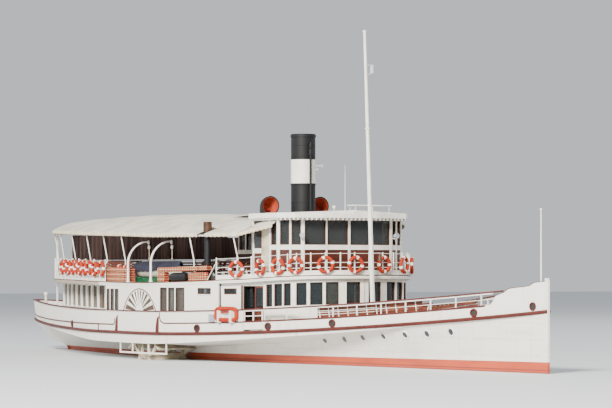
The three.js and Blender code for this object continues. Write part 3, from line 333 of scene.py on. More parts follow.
def hull_half(x, z):
    """Half-breadth of the topsides at a height: it widens with the height above the low point to
    the power 1.4, up to the deck."""
    _, low_z, low, top, _ = [column(x) for column in section_at]
    t = np.clip((z - low_z) / (guard_z(x) + DECK_THICK / 2 - low_z), 0, 1)
    return low + (top - low) * t ** 1.4


def hull_skin():
    """Cross sections closed over the keel: below the low point each is part of a superellipse of
    the section's fullness, and above it the flare of hull_half."""
    bounds = HULL_SECTIONS[:, 0]
    steps = [np.linspace(a, b, 2 if b - a < 0.01 else 13)[:-1] for a, b in zip(bounds, bounds[1:])]
    x = np.append(np.concatenate(steps), bounds[-1])[:, None]
    keel, low_z, low, _, fullness = [column(x) for column in section_at]
    t = (1 - np.cos(np.linspace(0, np.pi / 2, 12)))[None, :]
    bottom_y = np.maximum(0.004 + (low - 0.004) * (1 - (1 - t) ** fullness) ** (1 / fullness), 0.002)
    bottom_z = keel + (low_z - keel) * t
    side_z = low_z + (guard_z(x) - DECK_THICK / 2 - 0.0003 - low_z) * np.linspace(0.08, 1, 11)[None, :]
    y = np.concatenate([bottom_y, hull_half(x, side_z)], 1)
    z = np.concatenate([bottom_z, side_z], 1)
    section = np.stack([np.broadcast_to(x, y.shape), -y, z], -1)
    return skin(np.concatenate([section[:, ::-1], section * (1, -1, 1)], 1))


def painted_plates():
    """White paint over a red boot topping and a duller red bottom, with faint plate edges."""
    paint = Finish("painted_plates")
    x, _, z = paint.apart()
    grime = paint.noise(9, 4, (0.6, 0.6, 2.6))
    runs = paint.noise(60, 3, (1, 1, 0.06))
    white = paint.between(paint.soft(runs, 0.45, 0.8), WHITE, (0.72, 0.68, 0.6))
    white = paint.between(paint.soft(grime, 0.52, 0.78), white, (0.66, 0.63, 0.56))
    boot = paint.between(paint.soft(grime, 0.35, 0.7), (0.5, 0.07, 0.018), (0.4, 0.055, 0.018))
    boot_line = 0.03 + 0.0052 * x
    scum_low, scum_high, wet = 0.009, 0.0135, 0.004
    boot = paint.between((z > scum_low) * (z < scum_high), boot, (0.22, 0.035, 0.02))
    boot = paint.between(z < wet, boot, (0.26, 0.045, 0.028))
    edge = paint.soft(z - boot_line, -0.0006, 0.0006)
    paint.set(Base_Color=paint.between(edge, boot, white), Roughness=0.38 + grime * 0.2)
    place = paint.node("ShaderNodeCombineXYZ", {"X": x, "Y": z})
    seams = {"Vector": place, "Scale": 1, "Mortar Size": 0.0007, "Mortar Smooth": 0.4, "Brick Width": 0.28,
             "Row Height": 0.062, "Color1": (1, 1, 1), "Color2": (1, 1, 1), "Mortar": (0, 0, 0)}
    plates = paint.node("ShaderNodeTexBrick", seams, output="Fac")
    dents = paint.noise(7, 2, (1, 1, 1.6))
    return paint.bump(dents * 1.6 - plates * 0.3, 0.0022).material


plates_paint = painted_plates()
hull = make("hull_plating", [hull_skin()], plates_paint, sharp=50)
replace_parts(hull, "hull")


def carried(path, section, up=(0, 0, 1), closed=False):
    """A closed section carried along a path: its first number goes to the left of the way ahead
    and its second upwards, and flat faces end it unless the path is closed."""
    path = np.asarray(path, float)
    ahead = np.roll(path, -1, 0) - np.roll(path, 1, 0) if closed else np.gradient(path, axis=0)
    ahead /= np.linalg.norm(ahead, axis=1, keepdims=True)
    left = np.cross(up, ahead)
    left /= np.linalg.norm(left, axis=1, keepdims=True)
    above = np.cross(ahead, left)
    section = np.asarray(section, float)
    scale = section if section.ndim == 3 else section[None]
    points = path[:, None] + scale[..., :1] * left[:, None] + scale[..., 1:] * above[:, None]
    return skin(points, round_rows=closed)


def circle(radius, sides=12):
    """A round section, or an oval one when the radius is a pair."""
    turn = np.arange(sides) * 2 * np.pi / sides
    return np.stack([np.cos(turn), np.sin(turn)], 1) * radius


def lathe(profile, steps=24):
    """A profile of radius and height turned about the local Z axis, its ends closed with flat faces."""
    profile = np.asarray(profile, float)
    turn = np.arange(steps) * 2 * np.pi / steps
    ring = np.stack([np.cos(turn), np.sin(turn)], 1)
    wide, tall = profile[:, None, :1] * ring[None], np.repeat(profile[:, None, 1:], steps, 1)
    return skin(np.concatenate([wide, tall], 2))


def stood(form, spots, axes):
    """Copies of a form, one at each spot, with its local Z axis along that spot's axis."""
    spots, axes = np.atleast_2d(spots).astype(float), np.atleast_2d(axes).astype(float)
    axes = np.broadcast_to(axes, spots.shape) / np.linalg.norm(axes, axis=1, keepdims=True)
    guide = np.where(np.abs(axes[:, 2:]) > 0.9, (1.0, 0, 0), (0, 0, 1.0))
    side = np.cross(guide, axes)
    side /= np.linalg.norm(side, axis=1, keepdims=True)
    turn = np.stack([side, np.cross(axes, side), axes], 1)
    points, faces = form
    moved = np.einsum("pk,nkd->npd", points, turn) + spots[:, None]
    starts = (np.arange(len(spots)) * len(points))[:, None, None]
    return moved.reshape(-1, 3), [(ring[None] + starts).reshape(-1, ring.shape[1]) for ring in faces]


def plain_paint(name, colour, rough=0.4, wear=0.12, scale=24):
    """Brushed oil paint: one colour, a little darker and duller in patches, with a fine ripple."""
    paint = Finish(name, Specular_IOR_Level=0.3)
    patches = paint.noise(scale, 4)
    worn = tuple(c * (1 - wear) for c in colour)
    paint.set(Base_Color=paint.between(paint.soft(patches, 0.4, 0.72), colour, worn))
    paint.set(Roughness=rough + patches * 0.18)
    return paint.bump(paint.noise(420, 2), 0.00025, 0.5).material


white_paint = plain_paint("white_paint", WHITE)
dark_glass = Finish("dark_glass", Base_Color=(0.012, 0.015, 0.017), Roughness=0.06, Coat_Weight=0.5)
black_glass = dark_glass.material

# Portholes: seven each side in the bow, with a white rim pressed on the plating and dark glass.
PORTHOLES = np.array([[0.999, 0.101], [1.138, 0.108], [1.266, 0.116], [1.404, 0.123], [1.542, 0.131],
                      [1.669, 0.137], [1.801, 0.1465]])
port_x, port_z = PORTHOLES.T
reach = 0.01
port_axis = np.stack([hull_half(port_x - reach, port_z) - hull_half(port_x + reach, port_z),
                      np.full(len(PORTHOLES), -2 * reach),
                      hull_half(port_x, port_z - reach) - hull_half(port_x, port_z + reach)], 1)
port_spots = np.stack([port_x, -hull_half(port_x, port_z), port_z], 1)
rim_profile = [(0.0125, -0.004), (0.0125, 0.0012), (0.0138, 0.0028), (0.0165, 0.0034), (0.0192, 0.0026),
               (0.0205, 0.0004), (0.0205, -0.004)]
rims = [stood(lathe(rim_profile, 28), port_spots, port_axis)]
pane_profile = [(0.0128, -0.003), (0.0126, 0.0006), (0.006, 0.0011), (0.001, 0.0012)]
panes = [stood(lathe(pane_profile, 24), port_spots, port_axis)]
make_both("porthole_rims", rims, white_paint)
make_both("porthole_glass", panes, black_glass)

# Stem and keel: a flat bar along the foot of the plating and up the bow to the stem head.
stem_z = np.linspace(-0.09, 0.345, 14)
stem_line = np.stack([np.interp(stem_z, [-0.11, -0.08, 0.0, 0.34], [2.3, 2.3285, 2.3305, 2.3315]),
                      0 * stem_z, stem_z], 1)
bar_section = [(-0.0042, -0.004), (0.0042, -0.004), (0.0046, 0.001), (0.003, 0.0034), (-0.003, 0.0034),
               (-0.0046, 0.001)]
make("stem_bar", [carried(stem_line, bar_section, up=(-1, 0, 0))], plates_paint)

# Rudder, wheels and shaft: plate and timber with thick paint, the wheels cream and streaked.
red_paint = plain_paint("red_bottom_paint", (0.26, 0.045, 0.028), 0.6, 0.35, 30)
cream_paint = plain_paint("wheel_paint", (0.62, 0.53, 0.38), 0.6, 0.45, 18)
steel_finish = Finish("oiled_steel", Base_Color=(0.16, 0.165, 0.17), Metallic=0.8)
steel_finish.set(Roughness=0.32 + steel_finish.noise(30) * 0.3)


def dress(material, *nodes):
    """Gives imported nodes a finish."""
    for node in nodes:
        for material_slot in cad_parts[node].material_slots:
            material_slot.material = material


def both(name):
    """A node's names on the two sides."""
    return [f"{name}_starboard", f"{name}_port"]


dress(red_paint, "rudder")
dress(cream_paint, *both("paddle_wheel"))
dress(steel_finish.bump(steel_finish.noise(300, 2), 0.0002).material, "paddle_shaft", "engine_and_boiler")

# Decks: teak planks with dark caulking, laid along the ship on the main deck and the promenade
# deck. Both stop short of the edge at a white margin.
def planks(name, colour, dark):
    """Planks along X: each row of a brick pattern takes its own tone, with grain along it."""
    wood = Finish(name)
    x, y, _ = wood.apart()
    lay = wood.node("ShaderNodeCombineXYZ", {"X": x, "Y": y})
    row = {"Vector": lay, "Scale": 1, "Mortar Size": 0.0007, "Mortar Smooth": 0.3, "Brick Width": 0.52,
           "Row Height": 0.0135, "Color1": colour, "Color2": dark, "Mortar": (0.03, 0.027, 0.024)}
    tone = wood.node("ShaderNodeTexBrick", row, output="Color")
    seam = wood.node("ShaderNodeTexBrick", row, output="Fac")
    grain = wood.noise(70, 4, (0.12, 3, 1))
    tone = wood.between(wood.soft(grain, 0.35, 0.75) * 0.45, tone, tuple(c * 0.62 for c in colour))
    wood.set(Base_Color=tone, Roughness=0.6 + grain * 0.25)
    return wood.bump(grain * 0.3 - seam, 0.0006).material


UPPER_SHEER = np.array([
    # x, height of the promenade deck
    [-2.1, 0.347], [-1.5, 0.3455], [-0.9, 0.341], [-0.45, 0.3345], [-0.15, 0.331], [0.16, 0.3345],
    [0.415, 0.341], [0.65, 0.35], [0.83, 0.358], [1.0, 0.366],
])
upper_top = chords(fair(*UPPER_SHEER.T))
UPPER_THICK = 0.016


def upper_under(x):
    """Height of the underside of the promenade deck."""
    return upper_top(x) - UPPER_THICK


def deck_top(x):
    """Height of the top of the main deck."""
    return guard_z(x) + DECK_THICK / 2


def edge(x0, x1, inset=0.0):
    """The starboard edge of the main deck, forward from x0 to x1, pulled in by an inset."""
    x = np.concatenate([[x0], STATIONS[(STATIONS > x0 + 0.001) & (STATIONS < x1 - 0.001)], [x1]])
    return np.stack([x, inset - deck_half(x)], 1)


def shifted(path, distance):
    """A plan path moved to its right, with mitred corners."""
    ahead = np.diff(path, axis=0)
    ahead /= np.linalg.norm(ahead, axis=1, keepdims=True)
    rights = np.stack([ahead[:, 1], -ahead[:, 0]], 1)
    a, b = np.concatenate([rights[:1], rights]), np.concatenate([rights, rights[-1:]])
    return path + (a + b) * distance / (1 + (a * b).sum(1, keepdims=True))


def to_port(path):
    """The mirror image of a plan path, run the other way."""
    return path[::-1] * (1, -1)


def round_bow(path):
    """A starboard path that ends on the centre plane, carried on round to port."""
    return np.concatenate([path, to_port(path)[1:]])


def run_of(path):
    """The distance along a path at each of its points."""
    return np.concatenate([[0], np.cumsum(np.linalg.norm(np.diff(path, axis=0), axis=1))])


def at(path, distance):
    """Points at distances along a path."""
    run = run_of(path)
    return np.stack([np.interp(distance, run, column) for column in np.asarray(path).T], -1)


def portion(path, start, stop, step=None):
    """Part of a path between two distances along it, with its corners or in even steps."""
    run = run_of(path)
    inner = run[(run > start + 1e-5) & (run < stop - 1e-5)]
    if step:
        inner = np.linspace(start, stop, max(2, int((stop - start) / step)))[1:-1]
    return at(path, np.concatenate([[start], inner, [stop]]))


def height(level, path):
    """A height for each point of a path: a number, or a curve of x."""
    return level(path[:, 0]) if callable(level) else np.full(len(path), float(level))


def lifted(level, by):
    """A height moved up by a step."""
    return (lambda x: level(x) + by) if callable(level) else level + by


def strip(path, near, far, low, high):
    """A wall along a path, from near to far to the right of it and from low to high."""
    inner, outer = shifted(path, near), shifted(path, far)
    z0, z1 = height(low, path), height(high, path)
    corners = [np.column_stack(c) for c in [(outer, z0), (outer, z1), (inner, z1), (inner, z0)]]
    return skin(np.stack(corners, 1))


def stand(path, level):
    """A plan path lifted to a height."""
    return np.column_stack([path, height(level, path)])


deck_teak = planks("deck_teak", (0.42, 0.31, 0.2), (0.33, 0.235, 0.15))
dress(deck_teak, "main_deck")


def front_at(steps):
    """The round front of the promenade deck, from its side to the centre plane: a quarter of a
    superellipse of power 2.3."""
    turns = (steps + 0.35) * np.pi / 2 / 8.35
    power = 2 / 2.3
    points = np.stack([0.67 + 0.328 * np.sin(turns) ** power, -0.336 * np.abs(np.cos(turns)) ** power], 1)
    points[-1, 1] = 0
    return points


TURN_IN = np.array([[0.49, -deck_half(0.49)], [0.59, -0.35], [0.67, -0.336]])
TURNED_IN = np.concatenate([TURN_IN, front_at(np.linspace(0, 8, 33))])
UPPER_END = np.array([[-2.03, -0.02], [-2.0, -0.04], [-1.85, -0.1075], [-1.7, -0.175], [-1.55, -0.2405],
                      [-1.4, -0.303]])
after_edge = np.concatenate([UPPER_END, edge(-1.25, -0.45)])
upper_edge = np.concatenate([UPPER_END, edge(-1.25, 0.47), TURNED_IN])


def across(path, low, high, inset):
    """A deck-shaped layer between two heights: quadrilaterals across the ship from side to side."""
    rows = np.asarray(path)
    keep = rows[:, 1] < -inset - 0.004
    x, half = rows[keep, 0], -rows[keep, 1] - inset
    side = [(-half, low), (-half, high), (half, high), (half, low)]
    return skin(np.stack([np.column_stack([x, y, level(x)]) for y, level in side], 1))


planking = across(upper_edge, lifted(upper_top, 0.0001), lifted(upper_top, 0.0003), 0.016)
make("promenade_planks", [planking], deck_teak)

# Rubbing strake: an oak half-round bolted to the edge of the deck, painted brown.
oak_paint = plain_paint("oak_paint", (0.09, 0.011, 0.006), 0.42, 0.35)
turn = np.linspace(-np.pi / 2, np.pi / 2, 9)
half_round = np.stack([-0.0074 * np.cos(turn) - 0.0006, 0.007 * np.sin(turn)], 1)
half_round = np.concatenate([half_round, [[-0.0004, 0.0069], [-0.0004, -0.0069]]])
guard_line = np.concatenate([edge(-2.2935, 2.318), [[2.3318, -0.0022]]])
strakes = [carried(stand(guard_line, guard_z), half_round)]
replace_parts(make_both("rubbing_strake", strakes, oak_paint), "guard_strake")

# Sponsons: plated aprons under the overhanging deck, and the wheel guards below them, posts and a
# foot bar of bar iron. White paint over both, stained by rust where water runs down.
def weathered(name, colour, stain, run=0.25):
    """Paint with soft stains that run straight down."""
    paint = Finish(name)
    streaks = paint.noise(34, 4, (1, 1, 0.05))
    patches = paint.noise(11, 3)
    marks = paint.soft(streaks * (0.6 + patches * 0.8), 0.52, 0.85) * run
    paint.set(Base_Color=paint.between(marks, colour, stain), Roughness=0.42 + patches * 0.16)
    return paint.bump(paint.noise(8, 2) + paint.noise(300, 2) * 0.04, 0.0012).material


sponson_white = weathered("sponson_white", (0.78, 0.745, 0.67), (0.42, 0.3, 0.17), 0.5)
dress(sponson_white, *both("sponson"))
APRON = np.array([[-1.56, 0.005], [-1.25, 0.012], [-0.9, 0.024], [-0.45, 0.036], [0, 0.037], [0.45, 0.026],
                  [0.9, 0.015], [1.25, 0.009], [1.56, 0.005]])
apron_deep = fair(*APRON.T)
bead_line = stand(edge(-1.5, 1.5, 0.0006), lambda x: guard_z(x) - 0.0053 - apron_deep(x))
bead = [carried(bead_line, circle(0.0016, 8))]
make_both("sponson_bead", bead, sponson_white)

# Bulwarks: plate, painted white, with a brown cap rail along their top. The cap over a boarding
# gate swings with it.
bulwark_white = weathered("bulwark_white", WHITE, (0.5, 0.42, 0.3), 0.35)
dress(bulwark_white, "aft_bulwark", "fore_bulwark", *both("fore_rail"), *both("boarding_gate"))
RAIL, LOW_RAIL = 0.092, 0.044
CAP = [(-0.0064, 0.0003), (0.0064, 0.0003), (0.0076, 0.0022), (0.0058, 0.0052), (-0.0058, 0.0052),
       (-0.0076, 0.0022)]


def raked(form):
    """A form that leans out over the stern with the after bulwark: by 30 mm at the end of its top."""
    points, faces = form
    aft = np.clip((-2.15 - points[:, 0]) / 0.144, 0, None)
    up = np.clip((points[:, 2] - deck_top(points[:, 0])) / RAIL, 0, None)
    return points - np.stack([0.03 * aft * up, 0 * up, 0 * up], 1), faces


def cap_along(x0, x1, inset):
    """The cap rail on the high bulwark, from one x to another."""
    return raked(carried(stand(edge(x0, x1, inset), lifted(guard_z, RAIL)), CAP))


CAP_RUNS = ((-2.289, 0.488, 0.003), (0.487, 0.6445, 0.0032), (0.7695, 2.088, 0.003))
caps = [cap_along(*run) for run in CAP_RUNS]
make_both("cap_rail", caps, oak_paint)
GATE = (0.6475, 0.7625, 0.003)
make_sided("gate_cap", [cap_along(*GATE)], oak_paint, "boarding_gate")

# Mouldings: oak half-rounds nailed to the bulwark below the cap rail, turned up in a curve at the
# paddle boxes, a flat cap on the low bulwark forward and a thin one over the bows. Brown boards
# line the low bulwark inside, and a thin white bar runs through the stanchions.
def bulwark_out(x, proud=0.0):
    """Points of the bulwark's outer face at x: the deck's edge, pulled in by half a millimetre."""
    return -(deck_half(x) - 0.0005) - proud


def moulded(x, z, size=0.0028):
    """A half-round along the bulwark's outer face, by x and height above the guard."""
    x, z = np.asarray(x, float), np.asarray(z, float)
    line = np.column_stack([x, bulwark_out(x, 0.0006), guard_z(x) + z])
    return raked(carried(line, circle(size, 8), up=(0, -1, 0.05)))


turn_up = np.linspace(0, np.pi / 2, 7)
fore_x = np.concatenate([[0.097, 0.097], 0.135 - 0.038 * np.cos(turn_up), edge(0.15, 0.6445)[:, 0]])
fore_z = np.concatenate([[RAIL - 0.002, RAIL - 0.012], LOW_RAIL + 0.026 - 0.026 * np.sin(turn_up),
                         np.full(len(fore_x) - 9, LOW_RAIL)])
straight_x = edge(-2.28, -0.375)[:, 0]
aft_x = np.concatenate([[-2.284, -2.284], straight_x, -0.358 + 0.022 * np.sin(turn_up), [-0.336]])
aft_z = np.concatenate([[0.035, 0.026], np.interp(straight_x, [-2.28, -0.4], [0.021, 0.033]),
                        0.047 - 0.014 * np.cos(turn_up), [0.06]])
mouldings = [moulded(fore_x, fore_z), moulded(aft_x, aft_z),
             moulded([-0.509, -0.509, -0.509], [0.0075, 0.02, 0.036], 0.003)]
low_cap = [(-0.0036, -0.0024), (0.0036, -0.0024), (0.0044, 0.0012), (0.003, 0.0042), (-0.003, 0.0042),
           (-0.0044, 0.0012)]
mouldings.append(carried(stand(edge(0.768, 2.0, 0.003), lifted(guard_z, LOW_RAIL)), low_cap))
BOW_TOP = np.array([[1.99, 0.243], [2.032, 0.254], [2.054, 0.284], [2.096, 0.297], [2.123, 0.312],
                    [2.229, 0.323], [2.26, 0.335], [2.332, 0.341]])
bow_top = fair(*BOW_TOP.T)
bow_x = np.concatenate([np.linspace(2.092, 2.26, 16), [2.27, 2.29, 2.31, 2.326]])
bow_cap = [(-0.0034, 0.0002), (0.0034, 0.0002), (0.004, 0.0018), (-0.004, 0.0018)]
bow_line = np.column_stack([bow_x, np.minimum(-(deck_half(bow_x) - 0.003), -0.0015)])
mouldings.append(carried(stand(bow_line, bow_top), bow_cap))
make_both("mouldings", mouldings, oak_paint)
gate_low = [carried(stand(edge(*GATE), lifted(guard_z, LOW_RAIL)), low_cap)]
make_sided("gate_moulding", gate_low, oak_paint, "boarding_gate")


def pilaster(x):
    """A tapered oak chock on the bulwark, upright in front and slanting behind: its reach aft,
    its thickness and its height, from the foot up."""
    rows = np.array([[0.017, 0.005, 0.0072], [0.0145, 0.005, 0.03], [0.0085, 0.0045, 0.055],
                     [0.003, 0.0035, 0.068], [-0.002, 0.002, 0.0735]])
    sides = np.array([(0, 0), (0.12, 1), (0.88, 1), (1, 0)])
    px = x + 0.008 - (0.008 + rows[:, :1]) * sides[:, 0]
    py = bulwark_out(px, rows[:, 1:2] * sides[:, 1] - 0.0002)
    return skin(np.stack([px, py, guard_z(px) + rows[:, 2:]], -1))


pilasters = [pilaster(-0.313), pilaster(0.083)]
make_both("pilasters", pilasters, oak_paint)


def oval(x, z, wide, high, proud):
    """An ellipse drawn on the bulwark, a little proud of it."""
    round_x, round_z = (circle((wide, high), 28) + (x, z)).T
    return np.column_stack([round_x, bulwark_out(round_x, proud), round_z])


def oval_ring(x, z, wide, high, thick):
    """The raised rim of an oval opening in the bulwark."""
    return carried(oval(x, z, wide, high, 0.001), circle(thick, 8), up=(0, -1, 0), closed=True)


def oval_disc(x, z, wide, high):
    """A flat oval let into the bulwark."""
    return skin(np.stack([oval(x, z, wide, high, proud) for proud in (-0.002, 0.0006)]))


fair_x = np.array([-0.955, 0.353, 0.798, 1.173, 1.942])
fair_z = guard_z(fair_x) + 0.0225
fairleads = [oval_ring(x, z, 0.0165, 0.013, 0.0036) for x, z in zip(fair_x, fair_z)]
fairleads.append(oval_ring(2.25, 0.2475, 0.015, 0.0135, 0.003))
fair_holes = [oval_disc(x, z, 0.0155, 0.012) for x, z in zip(fair_x, fair_z)]
fair_holes.append(oval_disc(2.25, 0.2475, 0.0145, 0.013))
make_both("fairleads", fairleads, oak_paint)
shadow_black = plain_paint("shadow_black", (0.03, 0.028, 0.027), 0.7, 0.4)
make_both("fairlead_throats", fair_holes, shadow_black)
lining = [strip(edge(0.8, 2.02, 0.0055), -0.0012, -0.0002, lifted(deck_top, 0.002),
                lifted(guard_z, LOW_RAIL - 0.003))]
make_both("bulwark_lining", lining, oak_paint)
mid_bar = [carried(stand(edge(0.772, 2.046, 0.003), lifted(guard_z, 0.068)), circle(0.0012, 8))]
make_both("middle_bar", mid_bar, white_paint)

# Sponson houses: plated cabins over the deck's edge, in white paint, with wooden window frames,
# and a fan of slots over the paddle wheel inside a brown arch.
house_white = weathered("house_white", WHITE, (0.58, 0.51, 0.4), 0.3)
dress(house_white, *both("sponson_house"), *both("paddle_box"), "aft_saloon_walls", "fore_saloon_walls")
trim_brown = plain_paint("varnished_frames", (0.07, 0.022, 0.008), 0.4, 0.3)
glass = Finish("window_glass", Base_Color=(0.02, 0.026, 0.028), Roughness=0.035, Coat_Weight=0.4)
glass.set(Alpha=0.46 + glass.noise(5, 2) * 0.25)
window_glass = glass.bump(glass.noise(16, 1), 0.0006, 0.3).material
thin_glass = Finish("clear_glass", Base_Color=(0.055, 0.062, 0.062), Roughness=0.04, Coat_Weight=0.4)
thin_glass.set(Alpha=0.2 + thin_glass.noise(4, 2) * 0.2)
clear_glass = thin_glass.bump(thin_glass.noise(9, 1), 0.0006, 0.3).material
dress(window_glass, "fore_saloon_glass")
dress(clear_glass, "aft_saloon_glass", "wheelhouse_glass")


def frame_round(path, start, stop, low, high, wide, near, far):
    """A frame inside an opening of a wall: two posts, a sill and a head."""
    left, right = start + wide, stop - wide
    parts = [(start, left, low, high), (right, stop, low, high), (left, right, low, lifted(low, wide)),
             (left, right, lifted(high, -wide), high)]
    return [strip(portion(path, a, b), near, far, foot, top) for a, b, foot, top in parts]


FAN_X = -0.09
FAN_DROP, FAN_REACH = 0.072, 0.17


def fan_bar(radii, turns, foot, out, thick, sides=8):
    """A round bar on the paddle box, by distance and angle from a point at the foot of the fan."""
    x = FAN_X + radii * np.cos(turns)
    line = np.column_stack([x, -deck_half(x) - out, foot + radii * np.sin(turns)])
    return carried(line, circle(thick, sides), up=(0, -1, 0))


fan_trim = [fan_bar(0.1755, np.linspace(0.46, np.pi - 0.46, 40), 0.128, 0.0004, 0.0022)]
make_both("fan_arch", fan_trim, oak_paint)
# Each slat runs from the hub to a circle of FAN_REACH round a point FAN_DROP below the hub.
slats = [fan_bar(0.0315, np.linspace(0.02, np.pi - 0.02, 24), 0.207, 0.0004, 0.0015)]
for a in np.arange(1, 10) * np.pi / 10:
    below = FAN_DROP * np.sin(a)
    tip = np.sqrt(below ** 2 + FAN_REACH ** 2 - FAN_DROP ** 2) - below - 0.004
    slats.append(fan_bar(np.array([0.036, (0.036 + tip) / 2, tip]), a, 0.206, 0.0002, 0.0021, 6))
make_both("fan_slats", slats, house_white)
# Painted shade: a dark brown board with lighter stains sits just behind the slats and stands in for the
# shade inside the paddle box.
backing = [strip(edge(-0.262, 0.082), -0.002, -0.001, 0.2065, 0.302)]
shade_dark_backing = weathered("shade_dark_backing", (0.06, 0.032, 0.016), (0.2, 0.13, 0.07), 0.5)
make_both("fan_shade_backing", backing, shade_dark_backing)

house_edge = edge(-0.433, 0.488)


def house_at(x):
    """The distance along the house's side at an x."""
    return np.interp(x, house_edge[:, 0], run_of(house_edge))


HOUSE_WINDOWS = [(-0.425, -0.391, 0.208, 0.303), (-0.385, -0.346, 0.208, 0.303),
                 (-0.34, -0.299, 0.208, 0.303), (0.097, 0.15, 0.211, 0.31), (0.157, 0.204, 0.211, 0.31),
                 (0.211, 0.271, 0.211, 0.31), (0.355, 0.44, 0.283, 0.309)]
frames, sills, glazing = [], [], []
for x0, x1, low, high in HOUSE_WINDOWS:
    start, stop = house_at(x0), house_at(x1)
    frames += frame_round(house_edge, start, stop, low, high, 0.0034, -0.0052, -0.0012)
    for forms, wider, near, far, foot, top in [
            (glazing, -0.001, -0.0042, -0.0034, low + 0.001, high - 0.001),
            (sills, 0.003, -0.001, 0.0032, low - 0.0042, low - 0.0004),
            (sills, 0.002, -0.001, 0.0016, high + 0.0002, high + 0.0032)]:
        forms.append(strip(portion(house_edge, start - wider, stop + wider), near, far, foot, top))
make_both("sponson_window_frames", frames, trim_brown)
make_both("sponson_window_glass", glazing, clear_glass)
make_both("sponson_sills", sills, white_paint)


def curtain(name, path, start, stop, low, high, material, pleat=0.021, deep=0.0036):
    """Cloth gathered on a rail: a wave across the path whose depth grows from the top down, with
    a slower wave under it."""
    line = portion(path, start, stop, 0.0032)
    run = run_of(line)
    ahead = np.gradient(line, axis=0)
    ahead /= np.linalg.norm(ahead, axis=1, keepdims=True)
    side = np.stack([ahead[:, 1], -ahead[:, 0]], 1)
    drop = np.linspace(0, 1, 12)[:, None]
    turns = run * 2 * np.pi / pleat
    wave = np.sin(turns + 0.9 * np.sin(run * 17)) + 0.35 * np.sin(turns / 0.43)
    out = deep * wave[None] * (0.55 + 0.45 * drop)
    points = np.concatenate([line[None] + out[..., None] * side[None],
                             np.broadcast_to(high + (low - high) * drop, out.shape)[..., None]], -1)
    cloth = make(name, [(points.reshape(-1, 3), [net(12, len(line))])], material, sharp=80)
    cloth.modifiers.new("thickness", "SOLIDIFY").thickness = 0.0008
    return (cloth, high - low)[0]


def woven(name, first, second, rough=0.85, thread=2600, stripe=22):
    """Plain cloth in two tones: soft upright stripes, a fine weave and a little fluff."""
    cloth = Finish(name)
    tone = cloth.noise(stripe, 2, (1, 1, 0.02))
    weave = cloth.node("ShaderNodeTexNoise", {"Vector": cloth.place, "Scale": thread, "Detail": 1})
    cloth.set(Base_Color=cloth.between(cloth.soft(tone, 0.42, 0.58), first, second), Roughness=rough)
    return cloth.bump(weave, 0.0002, 0.6).material


HOUSE_CURTAINS = (("aft", -0.428, -0.295, 0.203, 0.308), ("fore", 0.094, 0.275, 0.207, 0.3135))
tan_curtain = woven("tan_curtain", (0.3, 0.15, 0.062), (0.19, 0.085, 0.038))
green_curtain = woven("green_curtain", (0.24, 0.25, 0.19), (0.15, 0.085, 0.05))
for side, flip in SIGNS:
    line = shifted(house_edge, -0.014) * (1, flip)
    for place, x0, x1, low, high in HOUSE_CURTAINS:
        curtain(f"sponson_curtain_{place}_{side}", line, house_at(x0), house_at(x1), low, high,
                green_curtain)


def proud(path, start, stop, low, high, out=0.0034):
    """A board on the outside of a wall, let in by half a millimetre."""
    return strip(portion(path, start, stop), -0.0005, out, low, high)


def turned(form, pivot, degrees):
    """A form turned about an upright line."""
    points, faces = form
    c, s = np.cos(np.radians(degrees)), np.sin(np.radians(degrees))
    flat = (points[:, :2] - pivot) @ np.array([[c, s], [-s, c]]) + pivot
    return np.column_stack([flat, points[:, 2]]), faces


def varnished(name, colour, dark, stretch=(1, 1, 0.08)):
    """Varnished wood: long grain in two tones under a clear coat."""
    wood = Finish(name, Coat_Weight=0.1, Specular_IOR_Level=0.3)
    grain = wood.noise(46, 5, stretch)
    tone = wood.between(wood.soft(grain, 0.35, 0.68), colour, dark)
    wood.set(Base_Color=tone, Roughness=0.42 + grain * 0.2)
    return wood.bump(grain, 0.0004, 0.5).material


mahogany = varnished("mahogany", (0.115, 0.026, 0.01), (0.06, 0.013, 0.006))


def door_forms(path, start, stop, low=0.151, high=0.317, middle=0.222):
    """A framed door along a path: its wood, with a raised panel below, and the pane above."""
    near, far, wide = -0.005, -0.001, 0.008
    line = portion(path, start + wide, stop - wide)
    wood = frame_round(path, start, stop, low, high, wide, near, far)
    wood += [strip(line, near, far, middle - 0.006, middle + 0.006),
             strip(line, near + 0.0012, far - 0.0012, low + wide, middle - 0.006),
             strip(portion(path, start + 0.014, stop - 0.014), near + 0.0003, far - 0.0003, low + 0.014,
                   middle - 0.012)]
    return wood, [strip(line, -0.0035, -0.0025, middle + 0.006, high - wide)]


def hang(name, wood, pane, material=mahogany, slot="mahogany"):
    """Hangs a door and its mirror image, each on its own body."""
    for side, flip in SIDES:
        body = f"{name}_{side}"
        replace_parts(make(f"{body}_leaf", flip(wood), material, body), body)
        if pane:
            make(f"{body}_pane", flip(pane), window_glass, body)


# Fore saloon: white posts and sills stand proud of the wall round its panes, each pane in a thin
# brown frame with a shutter behind one, and a pair of glazed doors opens to each side.
saloon_side = shifted(round_bow(np.concatenate([TURN_IN, front_at(np.arange(9))])), -0.022)
saloon_run = run_of(saloon_side)[-1]
SALOON_PANES = [(0.258, 0.303), (0.313, 0.359), (0.367, 0.401), (0.425, 0.47), (0.484, 0.535),
                (0.548, 0.601), (0.634, 0.695)]
pane_low, pane_high = lifted(upper_top, -0.12), lifted(upper_top, -0.029)
frames, posts = [], []
for start, stop in SALOON_PANES:
    frames += frame_round(saloon_side, start, stop, pane_low, pane_high, 0.002, -0.0055, 0.0006)
between_panes = np.concatenate([[0.24], np.ravel(SALOON_PANES), [saloon_run / 2 + 0.003]])
for start, stop in between_panes.reshape(-1, 2):
    posts.append(proud(saloon_side, start + 0.001, stop - 0.001, lifted(pane_low, -0.01),
                       lifted(pane_high, 0.01)))
for level, foot, top in ((pane_low, -0.0065, -0.0012), (pane_high, 0.0012, 0.006)):
    posts.append(proud(saloon_side, 0.243, saloon_run / 2, lifted(level, foot), lifted(level, top), 0.0044))
door_foot = lifted(deck_top, 0.002)
